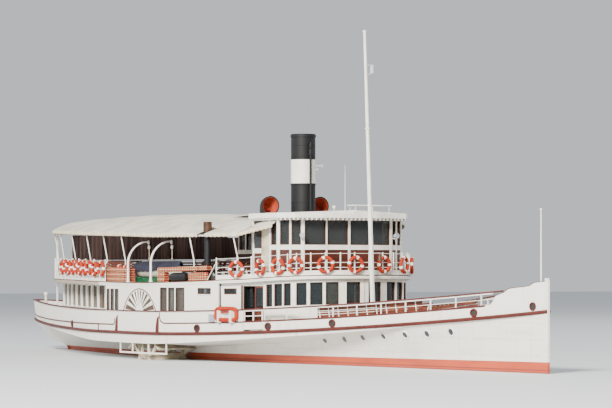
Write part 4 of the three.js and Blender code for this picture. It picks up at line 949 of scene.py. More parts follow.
posts.append(proud(saloon_side, 0.088, 0.0955, door_foot, 0.327))
frames += frame_round(saloon_side, 0.014, 0.074, 0.283, 0.308, 0.0042, -0.0055, 0.0012)
frames += [proud(saloon_side, a, a + 0.0065, door_foot, 0.3195, 0.0028) for a in (0.0965, 0.2412)]
small_pane = [strip(portion(saloon_side, 0.015, 0.073), -0.0042, -0.0034, 0.284, 0.307)]
make_both("saloon_frames", frames, trim_brown)
make_both("saloon_posts", posts, white_paint)
make_both("saloon_small_panes", small_pane, window_glass)
shutter = [strip(portion(saloon_side, 0.55, 0.599), -0.0104, -0.0096, pane_low, pane_high)]
make("window_shutter", shutter, cream_paint)
hang("saloon_door_fore", *door_forms(saloon_side, 0.1725, 0.239))
hinge_spot = shifted(portion(saloon_side, 0.105, 0.113), -0.006)[0]
# Painted shade: the aft door, turned ajar, and the screens behind the doorways are near-black wood standing
# in for the shade in the passage beyond the doors.
shaded_wood = varnished("shaded_wood", (0.022, 0.009, 0.006), (0.012, 0.006, 0.004))
ajar = [[turned(form, hinge_spot, 80) for form in forms]
        for forms in door_forms(saloon_side, 0.105, 0.1715)]
hang("saloon_door_aft", *ajar, shaded_wood)
screen = [strip(np.array([[0.47, -0.236], [0.72, -0.236]]), 0.0, 0.0015, 0.145, 0.33)]
make_both("passage_shade_screens", screen, shaded_wood)

# After saloon: inboard of the bulwark, with white mullions between nine panes a side, and a
# curtain gathered behind each mullion.
after_side = edge(-1.48, -0.434, 0.06)
after_run = run_of(after_side)[-1]
after_low, after_high = lifted(upper_under, -0.106), lifted(upper_under, -0.006)
mullion_at = np.linspace(0.03, after_run - 0.03, 10)
mullion_foot, mullion_top = lifted(after_low, -0.008), lifted(after_high, 0.005)
mullions = [proud(after_side, s - 0.0052, s + 0.0052, mullion_foot, mullion_top) for s in mullion_at]
for level, foot, top in ((after_low, -0.0065, -0.0012), (after_high, 0.0008, 0.005)):
    mullions.append(proud(after_side, 0.004, after_run - 0.004, lifted(level, foot), lifted(level, top),
                          0.0042))
make_both("after_mullions", mullions, white_paint)
for side, flip in SIGNS:
    line = shifted(after_side, -0.015) * (1, flip)
    for k, s in enumerate(mullion_at):
        start, stop = max(s - 0.048, 0.008), min(s + 0.048, after_run - 0.012)
        x = float(at(line, (start + stop) / 2)[0])
        low, high = float(after_low(x)) - 0.002, float(after_high(x))
        curtain(f"after_curtain_{side}_{k}", line, start, stop, low, high, tan_curtain, 0.0135, 0.0028)
stern_wall = np.array([[-1.48, 0.039], [-1.48, -0.039]])
wood, pane = door_forms(stern_wall, 0, 0.078, high=0.31)
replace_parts(make("after_door_leaf", wood, mahogany, "aft_saloon_door"), "aft_saloon_door")
make("after_door_pane", pane, window_glass, "aft_saloon_door")

# Promenade deck: white edges with a brown bead at their top, and beams under the overhang aft.
fascia_white = weathered("fascia_white", WHITE, (0.5, 0.44, 0.34), 0.4)
slab = [across(upper_edge, upper_under, upper_top, 0.0)]
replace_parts(make("promenade_deck", slab, fascia_white), "upper_deck")
outline = round_bow(upper_edge)


def round_deck(out, level, radius):
    """A bead round the edge of the promenade deck."""
    return carried(stand(shifted(outline, out), level), circle(radius, 8), closed=True)


deck_bead = round_deck(0.0004, lifted(upper_top, -0.0018), 0.0018)
make("deck_bead", [deck_bead], oak_paint)
fascia = [round_deck(0.0002, lifted(upper_under, rise), 0.0014) for rise in (0.0018, 0.0075)]
make("fascia_mouldings", fascia, fascia_white)
# Partly painted shade: the fascia boards aft are tan and darker than the white paint, for the shade the
# deck's edge lies in. Their dark blotches are real rust and grime.
worn_shaded_boards = weathered("worn_shaded_boards", (0.36, 0.3, 0.22), (0.13, 0.05, 0.022), 0.95)
fascia_line = np.concatenate([UPPER_END[2:], edge(-1.25, -0.505)])
boards = [strip(fascia_line, 0.0002, 0.0022, lifted(upper_under, 0.0005), lifted(upper_top, -0.0035))]
make_both("fascia_boards", boards, worn_shaded_boards)


def box(low, high):
    """A block between two corners."""
    (x0, y0, z0), (x1, y1, z1) = low, high
    return skin(np.array([[(x0, y0, z), (x1, y0, z), (x1, y1, z), (x0, y1, z)] for z in (z0, z1)]))


def rod(points, radius, sides=8):
    """A round bar through points, tapered where the radius is a list."""
    points = np.asarray(points, float)
    span = np.abs(points[-1] - points[0])
    up = (1, 0, 0) if span[2] > max(span[:2]) else (0, 0, 1)
    radii = np.broadcast_to(np.asarray(radius, float).reshape(-1, 1, 1), (len(points), 1, 1))
    return carried(points, circle(1, sides)[None] * radii, up)


def upper_half(x):
    """Half-breadth of the promenade deck."""
    return np.interp(x, upper_edge[:, 0], -upper_edge[:, 1])


def beam(x, y0, y1):
    """A beam under the promenade deck, let into it, from one y to another."""
    return box((x, y0, upper_under(x) - 0.005), (x + 0.006, y1, upper_under(x) + 0.0004))


beams = [beam(x, 0.006 - upper_half(x), upper_half(x) - 0.006) for x in np.arange(-1.95, -1.5, 0.09)]
knees = [beam(x, 0.003 - upper_half(x), 0.062 - deck_half(x)) for x in np.arange(-1.42, -0.46, 0.096)]
make("deck_beams", beams + knees + mirrored(knees), fascia_white)

# Promenade rails: a low skirting board, posts with ball tops and three thin rails. Lifebuoys hang
# on the posts, orange with four white bands.
def nearest(line, spots):
    """The distance along a path at which it comes closest to each of some points."""
    run = np.linspace(0, run_of(line)[-1], 4000)
    gaps = np.linalg.norm(at(line, run)[None] - np.asarray(spots, float)[:, None], axis=2)
    return run[gaps.argmin(1)]


def rail(name, line, posts, node, board, bars, post):
    """A rail along a path: its skirting board, its bars by height and radius, and its posts."""
    forms = [strip(line, -0.0012, 0.0012, lifted(upper_top, 0.0006), lifted(upper_top, board))]
    forms += [carried(stand(line, lifted(upper_top, rise)), circle(radius, 8)) for rise, radius in bars]
    spots = at(line, posts)
    forms.append(stood(post, stand(spots, upper_top), (0, 0, 1)))
    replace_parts(make(name, forms, white_paint), node)


def torus(radius, thick, start=0.0, stop=2 * np.pi, steps=28, sides=12):
    """Part of a ring about the local Z axis, or all of it."""
    whole = stop - start > 6.28
    a = np.linspace(start, stop, steps, endpoint=not whole)[:, None]
    b = (np.arange(sides) * 2 * np.pi / sides)[None]
    r = radius + thick * np.cos(b)
    return skin(np.stack([r * np.cos(a), r * np.sin(a), thick * np.sin(b) + 0 * a], -1), round_rows=whole)


BUOY_RADIUS = 0.029
BUOY_TURNS = (0.0, 0.32, -0.24)


def hang_buoys(name, line, spots, rise):
    """Lifebuoys against a rail: rings of orange canvas with bands of white tape at the quarters,
    turned three ways in turn."""
    along = nearest(line, spots)
    step = at(line, along + 0.002) - at(line, along - 0.002)
    out = np.column_stack([step[:, 1], -step[:, 0]]) / np.linalg.norm(step, axis=1, keepdims=True)
    centres = stand(at(line, along) + out * 0.0105, lifted(upper_top, rise))
    axes = np.column_stack([out, np.zeros(len(out))])
    make(name, [stood(torus(BUOY_RADIUS, 0.0073), centres, axes)], buoy_orange)
    bands = []
    for first, turn in enumerate(BUOY_TURNS[:len(centres)]):
        for middle in np.arange(4) * np.pi / 2 + turn:
            band = torus(BUOY_RADIUS, 0.0078, middle - 0.17, middle + 0.17, 5)
            bands.append(stood(band, centres[first::3], axes[first::3]))
    make(f"{name}_bands", bands, white_paint)
    return along


buoy_orange = plain_paint("buoy_orange", (0.37, 0.024, 0.003), 0.66, 0.25, 60)
fore_line = shifted(round_bow(np.concatenate([[[0.466, -deck_half(0.466)]], TURNED_IN])), -0.007)
FORE_BUOYS = [(0.56, -0.368), (0.708, -0.328), (0.815, -0.307), (0.885, -0.265), (0.959, -0.171),
              (0.99, -0.053), (0.986, 0.081), (0.944, 0.198), (0.862, 0.284), (0.76, 0.32), (0.64, 0.338),
              (0.53, 0.38)]
along = hang_buoys("fore_lifebuoys", fore_line, FORE_BUOYS, 0.041)
ends = [0.002, run_of(fore_line)[-1] - 0.002]
posts = np.concatenate([ends, along, (along[1:] + along[:-1]) / 2])
rail("fore_promenade_rail", fore_line, posts, "upper_rail_fore", 0.0185,
     ((0.03, 0.0013), (0.05, 0.0013), (0.0865, 0.001)),
     lathe([(0.0027, 0.0006), (0.0026, 0.09), (0.002, 0.0915), (0.0006, 0.092)], 10))
brace = [rod([(0.468, -0.4135, 0.418), (0.405, -0.4255, 0.3425)], 0.0017)]
make_both("rail_braces", brace, white_paint)
after_line = shifted(np.concatenate([to_port(after_edge), after_edge]), -0.007)
AFTER_BUOYS = np.array([[x, -upper_half(x)] for x in np.linspace(-1.165, -0.4765, 10)])
hang_buoys("after_lifebuoys", after_line, np.concatenate([AFTER_BUOYS, AFTER_BUOYS * (1, -1)]), 0.056)
posts = np.linspace(0.002, run_of(after_line)[-1] - 0.002, 26)
rail("after_promenade_rail", after_line, posts, "upper_rail_aft", 0.015,
     ((0.036, 0.0013), (0.06, 0.0013), (0.0855, 0.0017)),
     lathe([(0.0021, 0.0006), (0.0021, 0.086), (0.0014, 0.088), (0.0032, 0.0905), (0.0036, 0.093),
            (0.0028, 0.0955), (0.0006, 0.0966)], 10))
inner_line = edge(-0.45, -0.29, 0.064)
for name, line in (("inner_lifebuoys", inner_line), ("inner_lifebuoys_port", to_port(inner_line))):
    hang_buoys(name, line, at(line, [0.045, 0.115]), 0.0385)

# Deck gear: stacked floats with cream ropes, a raft canister and rings along the deck's edge,
# slatted benches, a square float and a locker on the bulwark, and a bollard over the stern.
def roped(name, red, cream, pitch, row):
    """Red canvas crossed by cream rope at even steps along the ship and upwards."""
    cloth = Finish(name)
    x, _, z = cloth.apart()
    patches = cloth.noise(40, 3)
    rope = ((x + 10.003) / pitch % 1.0 < 0.17) + ((z - row[0]) / row[1] % 1.0 < 0.15) > 0.5
    canvas = cloth.between(patches, red, tuple(c * 0.6 for c in red))
    cloth.set(Base_Color=cloth.between(rope, canvas, cream), Roughness=0.7)
    return cloth.bump(rope + patches * 0.5, 0.0008).material


float_red = roped("float_red", (0.3, 0.014, 0.003), (0.7, 0.52, 0.26), 0.0125, (0.3345, 0.0103))


def squircle(half, tall, count=20, power=4):
    """A superellipse of this power, by its half-breadth and half-height."""
    round_one = circle(1, count)
    return np.sign(round_one) * np.abs(round_one) ** (2 / power) * (half, tall)


def float_row(x0, x1, inset, row, count):
    """Buoyant floats side by side along the deck's edge, in a row above the deck."""
    line = edge(x0, x1, inset)
    step = run_of(line)[-1] / count
    level = lifted(upper_top, 0.011 + 0.0205 * row)
    spans = [portion(line, (k + 0.02) * step, (k + 0.98) * step) for k in range(count)]
    return [carried(stand(span, level), squircle(0.0128, 0.0101)) for span in spans]


stacks = {"float_aft": [form for row in range(3) for form in float_row(-0.5, -0.222, 0.031, row, 5)],
          "float_fore": float_row(0.045, 0.102, 0.03, 0, 1) + float_row(0.045, 0.102, 0.03, 1, 1)
          + float_row(0.045, 0.39, 0.03, 2, 6)}
for name, forms in stacks.items():
    for side, flip in SIDES:
        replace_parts(make(f"{name}_stack_{side}", flip(forms), float_red), f"{name}_{side}")
canister_x = np.array([0.142, 0.143, 0.146, 0.154, 0.236, 0.244, 0.247, 0.248])
canister_radii = [0.004, 0.0125, 0.0165, 0.0188, 0.0188, 0.0165, 0.0125, 0.004]
canister_line = np.column_stack([canister_x, 0.029 - deck_half(canister_x), upper_top(canister_x) + 0.0195])
canister = [rod(canister_line, canister_radii, 20)]
black_paint = plain_paint("black_paint", (0.005, 0.0052, 0.0058), 0.5, 0.2)
make_both("raft_canisters", canister, black_paint)


def flat_rings(levels):
    """Long rings that lie flat on one another along the deck's edge."""
    a = np.arange(32) * 2 * np.pi / 32
    x = 0.318 + 0.06 * np.cos(a)
    y = 0.031 - deck_half(x) + 0.011 * np.sin(a)
    return [carried(np.column_stack([x, y, upper_top(x) + level]), circle(0.0044, 8), closed=True)
            for level in levels]


make_both("flat_rings", flat_rings((0.005, 0.0136, 0.0222, 0.0308)), float_red)


def bench(x0, x1, seat, back):
    """A slatted bench along the promenade deck: its slats, then its iron legs. The seat spans two
    values of y, and the back stands at the third."""
    level = float(upper_top((x0 + x1) / 2)) + 0.0005
    low, high = sorted(seat)
    pitch = (high - low) / 4
    slats = [box((x0, low + k * pitch, level + 0.0415), (x1, low + (k + 0.8) * pitch, level + 0.0445))
             for k in range(4)]
    slats += [box((x0, back - 0.0016, level + z), (x1, back + 0.0016, level + z + 0.008))
              for z in (0.052, 0.064, 0.076)]
    first, last = min(low, back), max(high, back)
    irons = [(low, high, 0.0385, 0.0415), (first - 0.001, first + 0.004, 0.0006, 0.042),
             (last - 0.004, last + 0.001, 0.0006, 0.042), (back + 0.0016, back + 0.0046, 0.04, 0.084)]
    return slats, [box((x, y0, level + z0), (x + 0.006, y1, level + z1))
                   for x in np.linspace(x0 + 0.01, x1 - 0.016, 3) for y0, y1, z0, z1 in irons]


BENCHES = [
    # first and last x, the seat's two sides and the back's place across the ship
    (0.215, 0.365, (-0.232, -0.19), -0.184), (0.375, 0.525, (-0.232, -0.19), -0.184),
    (-1.42, -1.12, (-0.062, -0.018), -0.012), (-1.06, -0.76, (-0.062, -0.018), -0.012),
    (-0.7, -0.4, (-0.062, -0.018), -0.012), (-1.02, -0.78, (-0.3, -0.256), -0.306),
    (-0.68, -0.44, (-0.36, -0.316), -0.366),
]
slats, legs = [], []
for place in BENCHES:
    pair = bench(*place)
    slats += pair[0] + mirrored(pair[0])
    legs += pair[1] + mirrored(pair[1])
bench_wood = varnished("bench_wood", (0.17, 0.04, 0.014), (0.085, 0.018, 0.008), (0.08, 1, 1))
make("promenade_benches", slats, bench_wood)
make("bench_legs", legs, white_paint)
ring_x, ring_z = (squircle(0.0645, 0.0235, 48, 5) + (0.552, 0.2015)).T
ring_line = np.column_stack([ring_x, -deck_half(ring_x) - 0.0095, ring_z])
square_float = [carried(ring_line, circle(0.0086, 10), up=(0, -1, 0), closed=True)]
make_both("square_float", square_float, buoy_orange)
straps = [box((x, -deck_half(x) - 0.0192, 0.1665), (x + wide, -deck_half(x) + 0.0004, 0.2165))
          for x, wide in ((0.506, 0.008), (0.583, 0.012))]
side_y = -deck_half(0.545)
straps.append(box((0.514, side_y - 0.003, 0.182), (0.583, side_y - 0.002, 0.208)))
cross_bar = [box((0.514, side_y - 0.015, 0.207), (0.583, side_y - 0.003, 0.213))]
make_both("float_cross_bar", cross_bar, buoy_orange)
make_both("float_straps", straps, white_paint)
grey_paint = plain_paint("grey_paint", (0.36, 0.39, 0.42), 0.5, 0.2)
locker = [box((0.428, -deck_half(0.45) - 0.0078, 0.169), (0.468, -deck_half(0.45) + 0.002, 0.2))]
make_both("rail_lockers", locker, grey_paint)
BOLLARD_X = -1.985
foot = float(deck_top(BOLLARD_X))
bollard = lathe([(0.011, foot + 0.0004), (0.011, foot + 0.004), (0.007, foot + 0.008), (0.0066, 0.262),
                 (0.01, 0.267), (0.0095, 0.276), (0.002, 0.279)], 16)
bollards = [stood(bollard, (BOLLARD_X, -0.088, 0), (0, 0, 1))]
make_both("stern_bollards", bollards, white_paint)

# Wheelhouse: varnished panels under a white sill, tall panes between white posts, rafter tails
# under the roof's edge, a searchlight at each front corner and a pale door to each side.
CABIN_PANES = [(0.16, 0.212), (0.2286, 0.2645), (0.2756, 0.3124), (0.329, 0.4215), (0.4296, 0.5236)]
cabin_side = np.array([[0.556, -0.29], [0.776, -0.29], [0.835, -0.208], [0.846, -0.104], [0.85, 0.0]])
cabin_run = run_of(cabin_side)[-1]
CABIN_POSTS = [(0.144, 0.1585), (0.2135, 0.227), (0.2662, 0.274), (0.3142, 0.3275), (0.423, 0.4282),
               (0.5252, cabin_run)]
cabin_foot = lifted(upper_top, 0.0006)
CABIN_BANDS = [(0.4665, 0.4862, 0.003), (0.5888, 0.5997, 0.003),
               (cabin_foot, lifted(upper_top, 0.018), 0.0026)]
panel_wood = varnished("panel_wood", (0.072, 0.0125, 0.0035), (0.042, 0.007, 0.002), (0.1, 0.1, 1))
dress(panel_wood, "wheelhouse_walls", "casing_walls")
dress(mahogany, "helm_pedestal", "helm_wheel")
frames = []
for start, stop in CABIN_PANES:
    frames += frame_round(cabin_side, start, stop, 0.487, 0.588, 0.0026, -0.0055, 0.0008)
posts = [proud(cabin_side, start, stop, cabin_foot, 0.5999, 0.0042) for start, stop in CABIN_POSTS]
posts += [proud(cabin_side, 0.144, cabin_run, low, high, out) for low, high, out in CABIN_BANDS]
posts.append(proud(cabin_side, 0.002, 0.012, cabin_foot, 0.5997, 0.0036))
frames += frame_round(cabin_side, 0.013, 0.0735, 0.4735, 0.5885, 0.0026, -0.0005, 0.0012)
posts.append(proud(cabin_side, 0.012, 0.0745, 0.453, 0.473, 0.0024))
dark_panes = [strip(portion(cabin_side, 0.0155, 0.071), -0.0002, 0.0005, 0.476, 0.586)]
make_both("wheelhouse_dark_panes", dark_panes, black_glass)
make_both("wheelhouse_frames", frames, trim_brown)
make_both("wheelhouse_posts", posts, white_paint)
wood, pane = door_forms(cabin_side, 0.075, 0.133, 0.361, 0.584, 0.452)
leaf = wood + [strip(portion(cabin_side, 0.083, 0.125), -0.0038, -0.0022, 0.458, 0.576)]
hang("wheelhouse_door", leaf, [], cream_paint, "cream")
roof_edge = round_bow(np.array([[0.548, -0.306], [0.8, -0.31], [0.868, -0.262], [0.892, -0.14],
                                [0.897, 0.0]]))
tails = []
for s in np.arange(0.012, run_of(roof_edge)[-1], 0.0198):
    step = at(roof_edge, s + 0.001) - at(roof_edge, s - 0.001)
    inward = np.array([-step[1], step[0]]) / np.linalg.norm(step)
    tails.append(rod([[*(at(roof_edge, s) + inward * d), 0.5915] for d in (0.0015, 0.026)], 0.0048, 4))
make("rafter_tails", tails, white_paint)
dress(white_paint, "wheelhouse_roof", "casing_roof", "awning_frame")
steel_grey = plain_paint("lamp_grey", (0.42, 0.44, 0.45), 0.35, 0.2)
lamp = lathe([(0.0025, -0.014), (0.007, -0.011), (0.0095, -0.004), (0.01, 0.004), (0.0108, 0.0045),
              (0.0108, 0.0065), (0.009, 0.0066), (0.0085, 0.0052)], 20)
lamps = stood(lamp, [(0.856, -0.223, 0.525), (0.856, 0.223, 0.525)], [(1, -0.35, 0.1), (1, 0.35, 0.1)])
make("searchlights", [lamps], steel_grey)
arms = [rod([(0.831, -0.214, 0.5165), (0.846, -0.222, 0.512), (0.854, -0.223, 0.5175)], 0.0018)]
make_both("searchlight_arms", arms, white_paint)
board = [box((0.8, 0.02, 0.648), (0.858, 0.2, 0.6515))]
board += [rod([(x, y, 0.612), (x, y, 0.649)], 0.0014) for x in (0.806, 0.852) for y in (0.03, 0.11, 0.19)]
board.append(rod([(0.73, 0.05, 0.618), (0.73, 0.05, 0.82)], [0.0016, 0.0007]))
board.append(rod([(0.637, 0.05, 0.62), (0.637, 0.05, 0.64)], 0.0016))
knob = lathe([(0.001, -0.007), (0.006, -0.004), (0.0075, 0.001), (0.005, 0.006), (0.001, 0.0075)], 14)
board.append(stood(knob, (0.637, 0.05, 0.646), (0, 0, 1)))
make("roof_board", board, white_paint)

# Casing: the same style, with panes all along, under the funnel. The funnel is black with a white
# band, with a steam pipe ahead of it, and the cowls are red inside.
CASING_PANES = [(0.216, 0.262), (0.274, 0.32), (0.332, 0.378), (0.39, 0.436), (0.448, 0.494)]
CASING_POSTS = (0.2035, 0.268, 0.326, 0.384, 0.442, 0.503, 0.535)
CASING_SILL, CASING_HEAD = (0.452, 0.469), (0.5765, 0.5975)
CASING_IN = -0.1697
posts = [box((x - 0.0028, CASING_IN - 0.0037, CASING_SILL[0]), (x + 0.0028, CASING_IN, 0.597))
         for x in CASING_POSTS]
posts += [box((0.197, CASING_IN - 0.0029, low), (0.541, CASING_IN, high))
          for low, high in (CASING_SILL, CASING_HEAD)]
make_both("casing_posts", posts, white_paint)
panes = [box((a - 0.001, CASING_IN + 0.0033, CASING_SILL[1]), (b + 0.001, CASING_IN + 0.0041, 0.576))
         for a, b in CASING_PANES]
make_both("casing_panes", panes, window_glass)


def hooped(profile, steps=40):
    """A profile that closes on itself, turned about the local Z axis."""
    profile = np.asarray(profile, float)
    turn = np.arange(steps) * 2 * np.pi / steps
    radius, height = profile[:, :1], profile[:, 1:]
    return skin(np.stack([radius * np.cos(turn), radius * np.sin(turn), height + 0 * turn], -1),
                round_rows=True)


def on_axis(form, x, y=0.0):
    """A form turned about the Z axis, moved to an x and a y."""
    return stood(form, (x, y, 0), (0, 0, 1))


FUNNEL_X = 0.461
funnel_skin = [(0.0545, 0.6066), (0.0545, 0.619), (0.0515, 0.6195), (0.0515, 0.742), (0.0543, 0.7424),
               (0.0543, 0.7458), (0.0515, 0.7462), (0.0515, 0.943), (0.0543, 0.9434), (0.0543, 0.9526),
               (0.0515, 0.953), (0.0515, 0.9568), (0.0478, 0.957), (0.0474, 0.65)]
shell = [on_axis(lathe(funnel_skin, 56), FUNNEL_X)]
for z in (0.668, 0.858, 0.906):
    seam = hooped([(0.0513, z), (0.0526, z + 0.0004), (0.0526, z + 0.0016), (0.0513, z + 0.002)], 56)
    shell.append(on_axis(seam, FUNNEL_X))
shell += [rod([(0.525, 0, z) for z in (0.607, 0.866, 0.868, 0.892, 0.894, 0.904, 0.921)],
              [0.0048, 0.0048, 0.0088, 0.0088, 0.0048, 0.0068, 0.0032], 16)]
shell += [box((0.508, -0.0028, z), (0.522, 0.0028, z + 0.005)) for z in (0.7, 0.85)]
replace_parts(make("funnel_casing", shell, black_paint), "funnel")
band = hooped([(0.0512, 0.7485), (0.0521, 0.7487), (0.0521, 0.8488), (0.0512, 0.849)], 56)
make("funnel_band", [on_axis(band, FUNNEL_X)], white_paint)
soot = plain_paint("soot", (0.01, 0.01, 0.01), 0.9, 0.2)
bore = hooped([(0.0473, 0.652), (0.0473, 0.9562), (0.0466, 0.9562), (0.0466, 0.652)], 40)
make("funnel_soot", [on_axis(bore, FUNNEL_X)], soot)
horn = [rod([(0.5, 0.035, 0.8215), (0.5185, 0.046, 0.8215), (0.534, 0.05, 0.8215)],
            [0.003, 0.0035, 0.0085], 14),
        rod([(0.503, 0.033, 0.806), (0.52, 0.043, 0.806)], [0.002, 0.0055], 12)]
make("funnel_horn", horn, steel_grey)
bend = np.linspace(0, np.pi / 2, 12)
COWL_X, COWL_Y, COWL_BEND = 0.345, -0.12, 0.034
cowl_line = np.array(
    [(COWL_X, COWL_Y, 0.6068), (COWL_X, COWL_Y, 0.6145)]
    + [(COWL_X + COWL_BEND * (1 - np.cos(a)), COWL_Y, 0.621 + COWL_BEND * np.sin(a)) for a in bend]
    + [(0.3945, COWL_Y, 0.655)])
flare = np.interp(bend, np.arange(6) * np.pi / 10, [0.022, 0.024, 0.027, 0.031, 0.035, 0.039])
cowl_radii = np.concatenate([[0.022, 0.022], flare, [0.0405]])


def rings_of(path, radii, sides=32):
    """The rings of points round a path, with a radius for each."""
    section = circle(1, sides)[None] * np.reshape(radii, (-1, 1, 1))
    return carried(path, section, (0, 1, 0))[0].reshape(-1, sides, 3)


mouth, mouth_radii = cowl_line[6:], cowl_radii[6:]
outer, inner = rings_of(cowl_line, cowl_radii), rings_of(mouth, mouth_radii - 0.0036)[::-1]
rim = carried(rings_of(mouth, mouth_radii - 0.001)[-1], circle(0.0019, 8), up=(1, 0, 0), closed=True)
cowl = [skin(np.concatenate([outer, inner])), rim]
layers = [rings_of(mouth, mouth_radii - 0.0038), rings_of(mouth, mouth_radii - 0.005)[::-1]]
lining = [skin(np.concatenate(layers), round_rows=True),
          rod([mouth[0] + (0.0008, 0, 0), mouth[0] + (0.002, 0, 0.0006)], 0.0215, 24)]
cowl_red = plain_paint("cowl_red", (0.36, 0.05, 0.022), 0.5, 0.3)
for side, flip in SIDES:
    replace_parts(make(f"cowl_shell_{side}", flip(cowl), black_paint), f"cowl_{side}")
    make(f"cowl_lining_{side}", flip(lining), cowl_red)
pipe_copper = plain_paint("pipe_copper", (0.07, 0.03, 0.013), 0.38, 0.7, 60)
FLUE_X, FLUE_Y = 0.335, -0.388
foot = float(upper_top(FLUE_X))
flue = lathe([(0.0165, foot + 0.0008), (0.0165, foot + 0.004), (0.014, foot + 0.005), (0.014, 0.541),
              (0.0156, 0.5412), (0.0156, 0.543)], 28)
flue_cap = lathe([(0.0182, 0.5432), (0.0182, 0.58), (0.0175, 0.5806), (0.0182, 0.5812), (0.0182, 0.586),
                  (0.0165, 0.586), (0.0163, 0.572)], 28)
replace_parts(make("stove_flue", [on_axis(flue, FLUE_X, FLUE_Y)], black_paint), "stove_pipe")
make("stove_cap", [on_axis(flue_cap, FLUE_X, FLUE_Y)], pipe_copper)

# Awning: one sheet stretched over the hoops, a little slack between them, with a ribbed valance
# along both edges, and cut out round the casing and the stove pipe.
AWNING = np.array([
    # x, half-breadth, height of its edge, height of its ridge
    [-2.066, 0.016, 0.572, 0.578], [-1.98, 0.052, 0.575, 0.597], [-1.88, 0.098, 0.575, 0.609],
    [-1.64, 0.205, 0.574, 0.625], [-1.2, 0.332, 0.565, 0.634], [-0.76, 0.424, 0.555, 0.637],
    [-0.3, 0.466, 0.546, 0.634], [0.0, 0.47, 0.539, 0.628], [0.3, 0.428, 0.537, 0.624],
    [0.545, 0.364, 0.536, 0.62],
])
HOOPS = np.array([-1.95, -1.74, -1.474, -1.151, -0.855, -0.605, -0.376, 0.15, 0.545])
CASING_CUT, FLUE_CUT = 0.184, (0.313, 0.357)
SAG, CREASE = 0.0036, 0.0007
awning_half, awning_low, awning_high = (fair(AWNING[:, 0], AWNING[:, k]) for k in (1, 2, 3))


def awning_rows():
    """The cloth by x and across: t runs from 1 at the edge to 0 at the ridge, and its height is
    the edge's plus the rise times 1 - t^2, less a sag between two hoops and plus faint creases."""
    steps = np.linspace(AWNING[0, 0], AWNING[-1, 0], 118)
    x = np.unique(np.round(np.concatenate([steps, HOOPS[:-1], [CASING_CUT, *FLUE_CUT]]), 4))
    half = awning_half(x)
    cut = np.clip(0.1825 / half, 0, 0.45)
    across = np.linspace(0, 1, 15)[:, None]
    outer = 1 + (cut - 1) * across
    inner = cut * np.linspace(1, 0, 8)[1:, None]
    t = np.concatenate([outer, inner])
    t = np.concatenate([t, -t[:-1][::-1]])
    bay = np.searchsorted(HOOPS, x, side="right").clip(1, len(HOOPS) - 1)
    first, last = HOOPS[bay - 1], HOOPS[bay]
    slack = np.sin(np.pi * np.clip((x - first) / (last - first), 0, 1))
    z = awning_low(x) + (awning_high(x) - awning_low(x)) * (1 - t ** 2)
    z -= SAG * slack * (1 - 0.7 * t ** 2)
    z += CREASE * np.sin(x * 150 + 4 * t) * (0.3 + slack) * (1 - t ** 4)
    return x, np.stack([np.broadcast_to(x, z.shape), -t * half, z], -1)


def cloth_sheet(name, points, faces, material, flat, held="stretched", on="awning_frame", **cut):
    """A sheet of cloth over a grid of points, a little over a millimetre thick. An area given for a
    cut is not used."""
    cloth = make(name, [(points.reshape(-1, 3), [faces])], material, sharp=60)
    cloth.modifiers.new("thickness", "SOLIDIFY").thickness = 0.0014
    return cloth


def faces_area(points, faces):
    """The area of four-sided faces: half the cross product of their diagonals."""
    corners = points.reshape(-1, 3)[faces]
    cross = np.cross(corners[:, 2] - corners[:, 0], corners[:, 3] - corners[:, 1])
    return float(np.linalg.norm(cross, axis=1).sum() / 2)


canvas = woven("awning_canvas", (0.6, 0.565, 0.48), (0.5, 0.46, 0.385), 0.8, 2200, 9)
cream_canvas = woven("valance_canvas", (0.66, 0.585, 0.43), (0.55, 0.475, 0.34), 0.8, 2200, 40)
awning_x, awning_grid = awning_rows()
rows, columns = awning_grid.shape[:2]
faces = net(rows, columns)
row, column = faces[:, 0] // columns, faces[:, 0] % columns
middle = (row >= 14) & (row < rows - 15)
first, last = awning_x[column], awning_x[np.minimum(column + 1, columns - 1)]
near_flue = (row < 4) & (first > FLUE_CUT[0] - 0.0005) & (last < FLUE_CUT[1] + 0.0005)
faces = faces[~(middle & (first > CASING_CUT - 0.0005)) & ~near_flue]
awning_cloth = cloth_sheet("awning_cloth", awning_grid, faces, canvas, (1.02, 2.66),
                           area=faces_area(awning_grid, faces))
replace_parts(awning_cloth, "awning")


def valance(x0, x1, name, flip, half=awning_half, low=awning_low):
    """A strip under the awning's edge: ribs across it, and its lower edge cut in shallow scallops,
    the absolute sine of the distance along it."""
    x = np.linspace(x0, x1, int((x1 - x0) / 0.0021))
    run = run_of(np.column_stack([x, half(x)]))
    drop = np.linspace(0, 1, 5)[:, None]
    rib = 0.0011 * np.cos(run * 2 * np.pi / 0.0127) * (0.35 + 0.65 * drop)
    foot = 0.0125 + 0.003 * np.abs(np.sin(run * np.pi / 0.0254))
    y = -(half(x) + 0.0002 + rib) * flip
    z = low(x) + 0.0004 - foot * drop
    points = np.stack([np.broadcast_to(x, y.shape), y, np.broadcast_to(z, y.shape)], -1)
    return cloth_sheet(name, points, net(5, len(x)), cream_canvas, (float(run[-1]), 0.0155), "hung",
                       "awning_cloth")


WING = np.array([
    # x, half-breadth and height of the outer edge, height of the inner edge at the wheelhouse
    [0.5435, 0.364, 0.535, 0.562], [0.6, 0.352, 0.545, 0.577], [0.68, 0.334, 0.558, 0.583],
    [0.768, 0.314, 0.572, 0.584],
])
WING_START, WING_STOP = WING[[0, -1], 0]
WING_INNER = 0.2968


def wing_at(k):
    """One column of WING as a curve of x."""
    return lambda x: np.interp(x, WING[:, 0], WING[:, k])


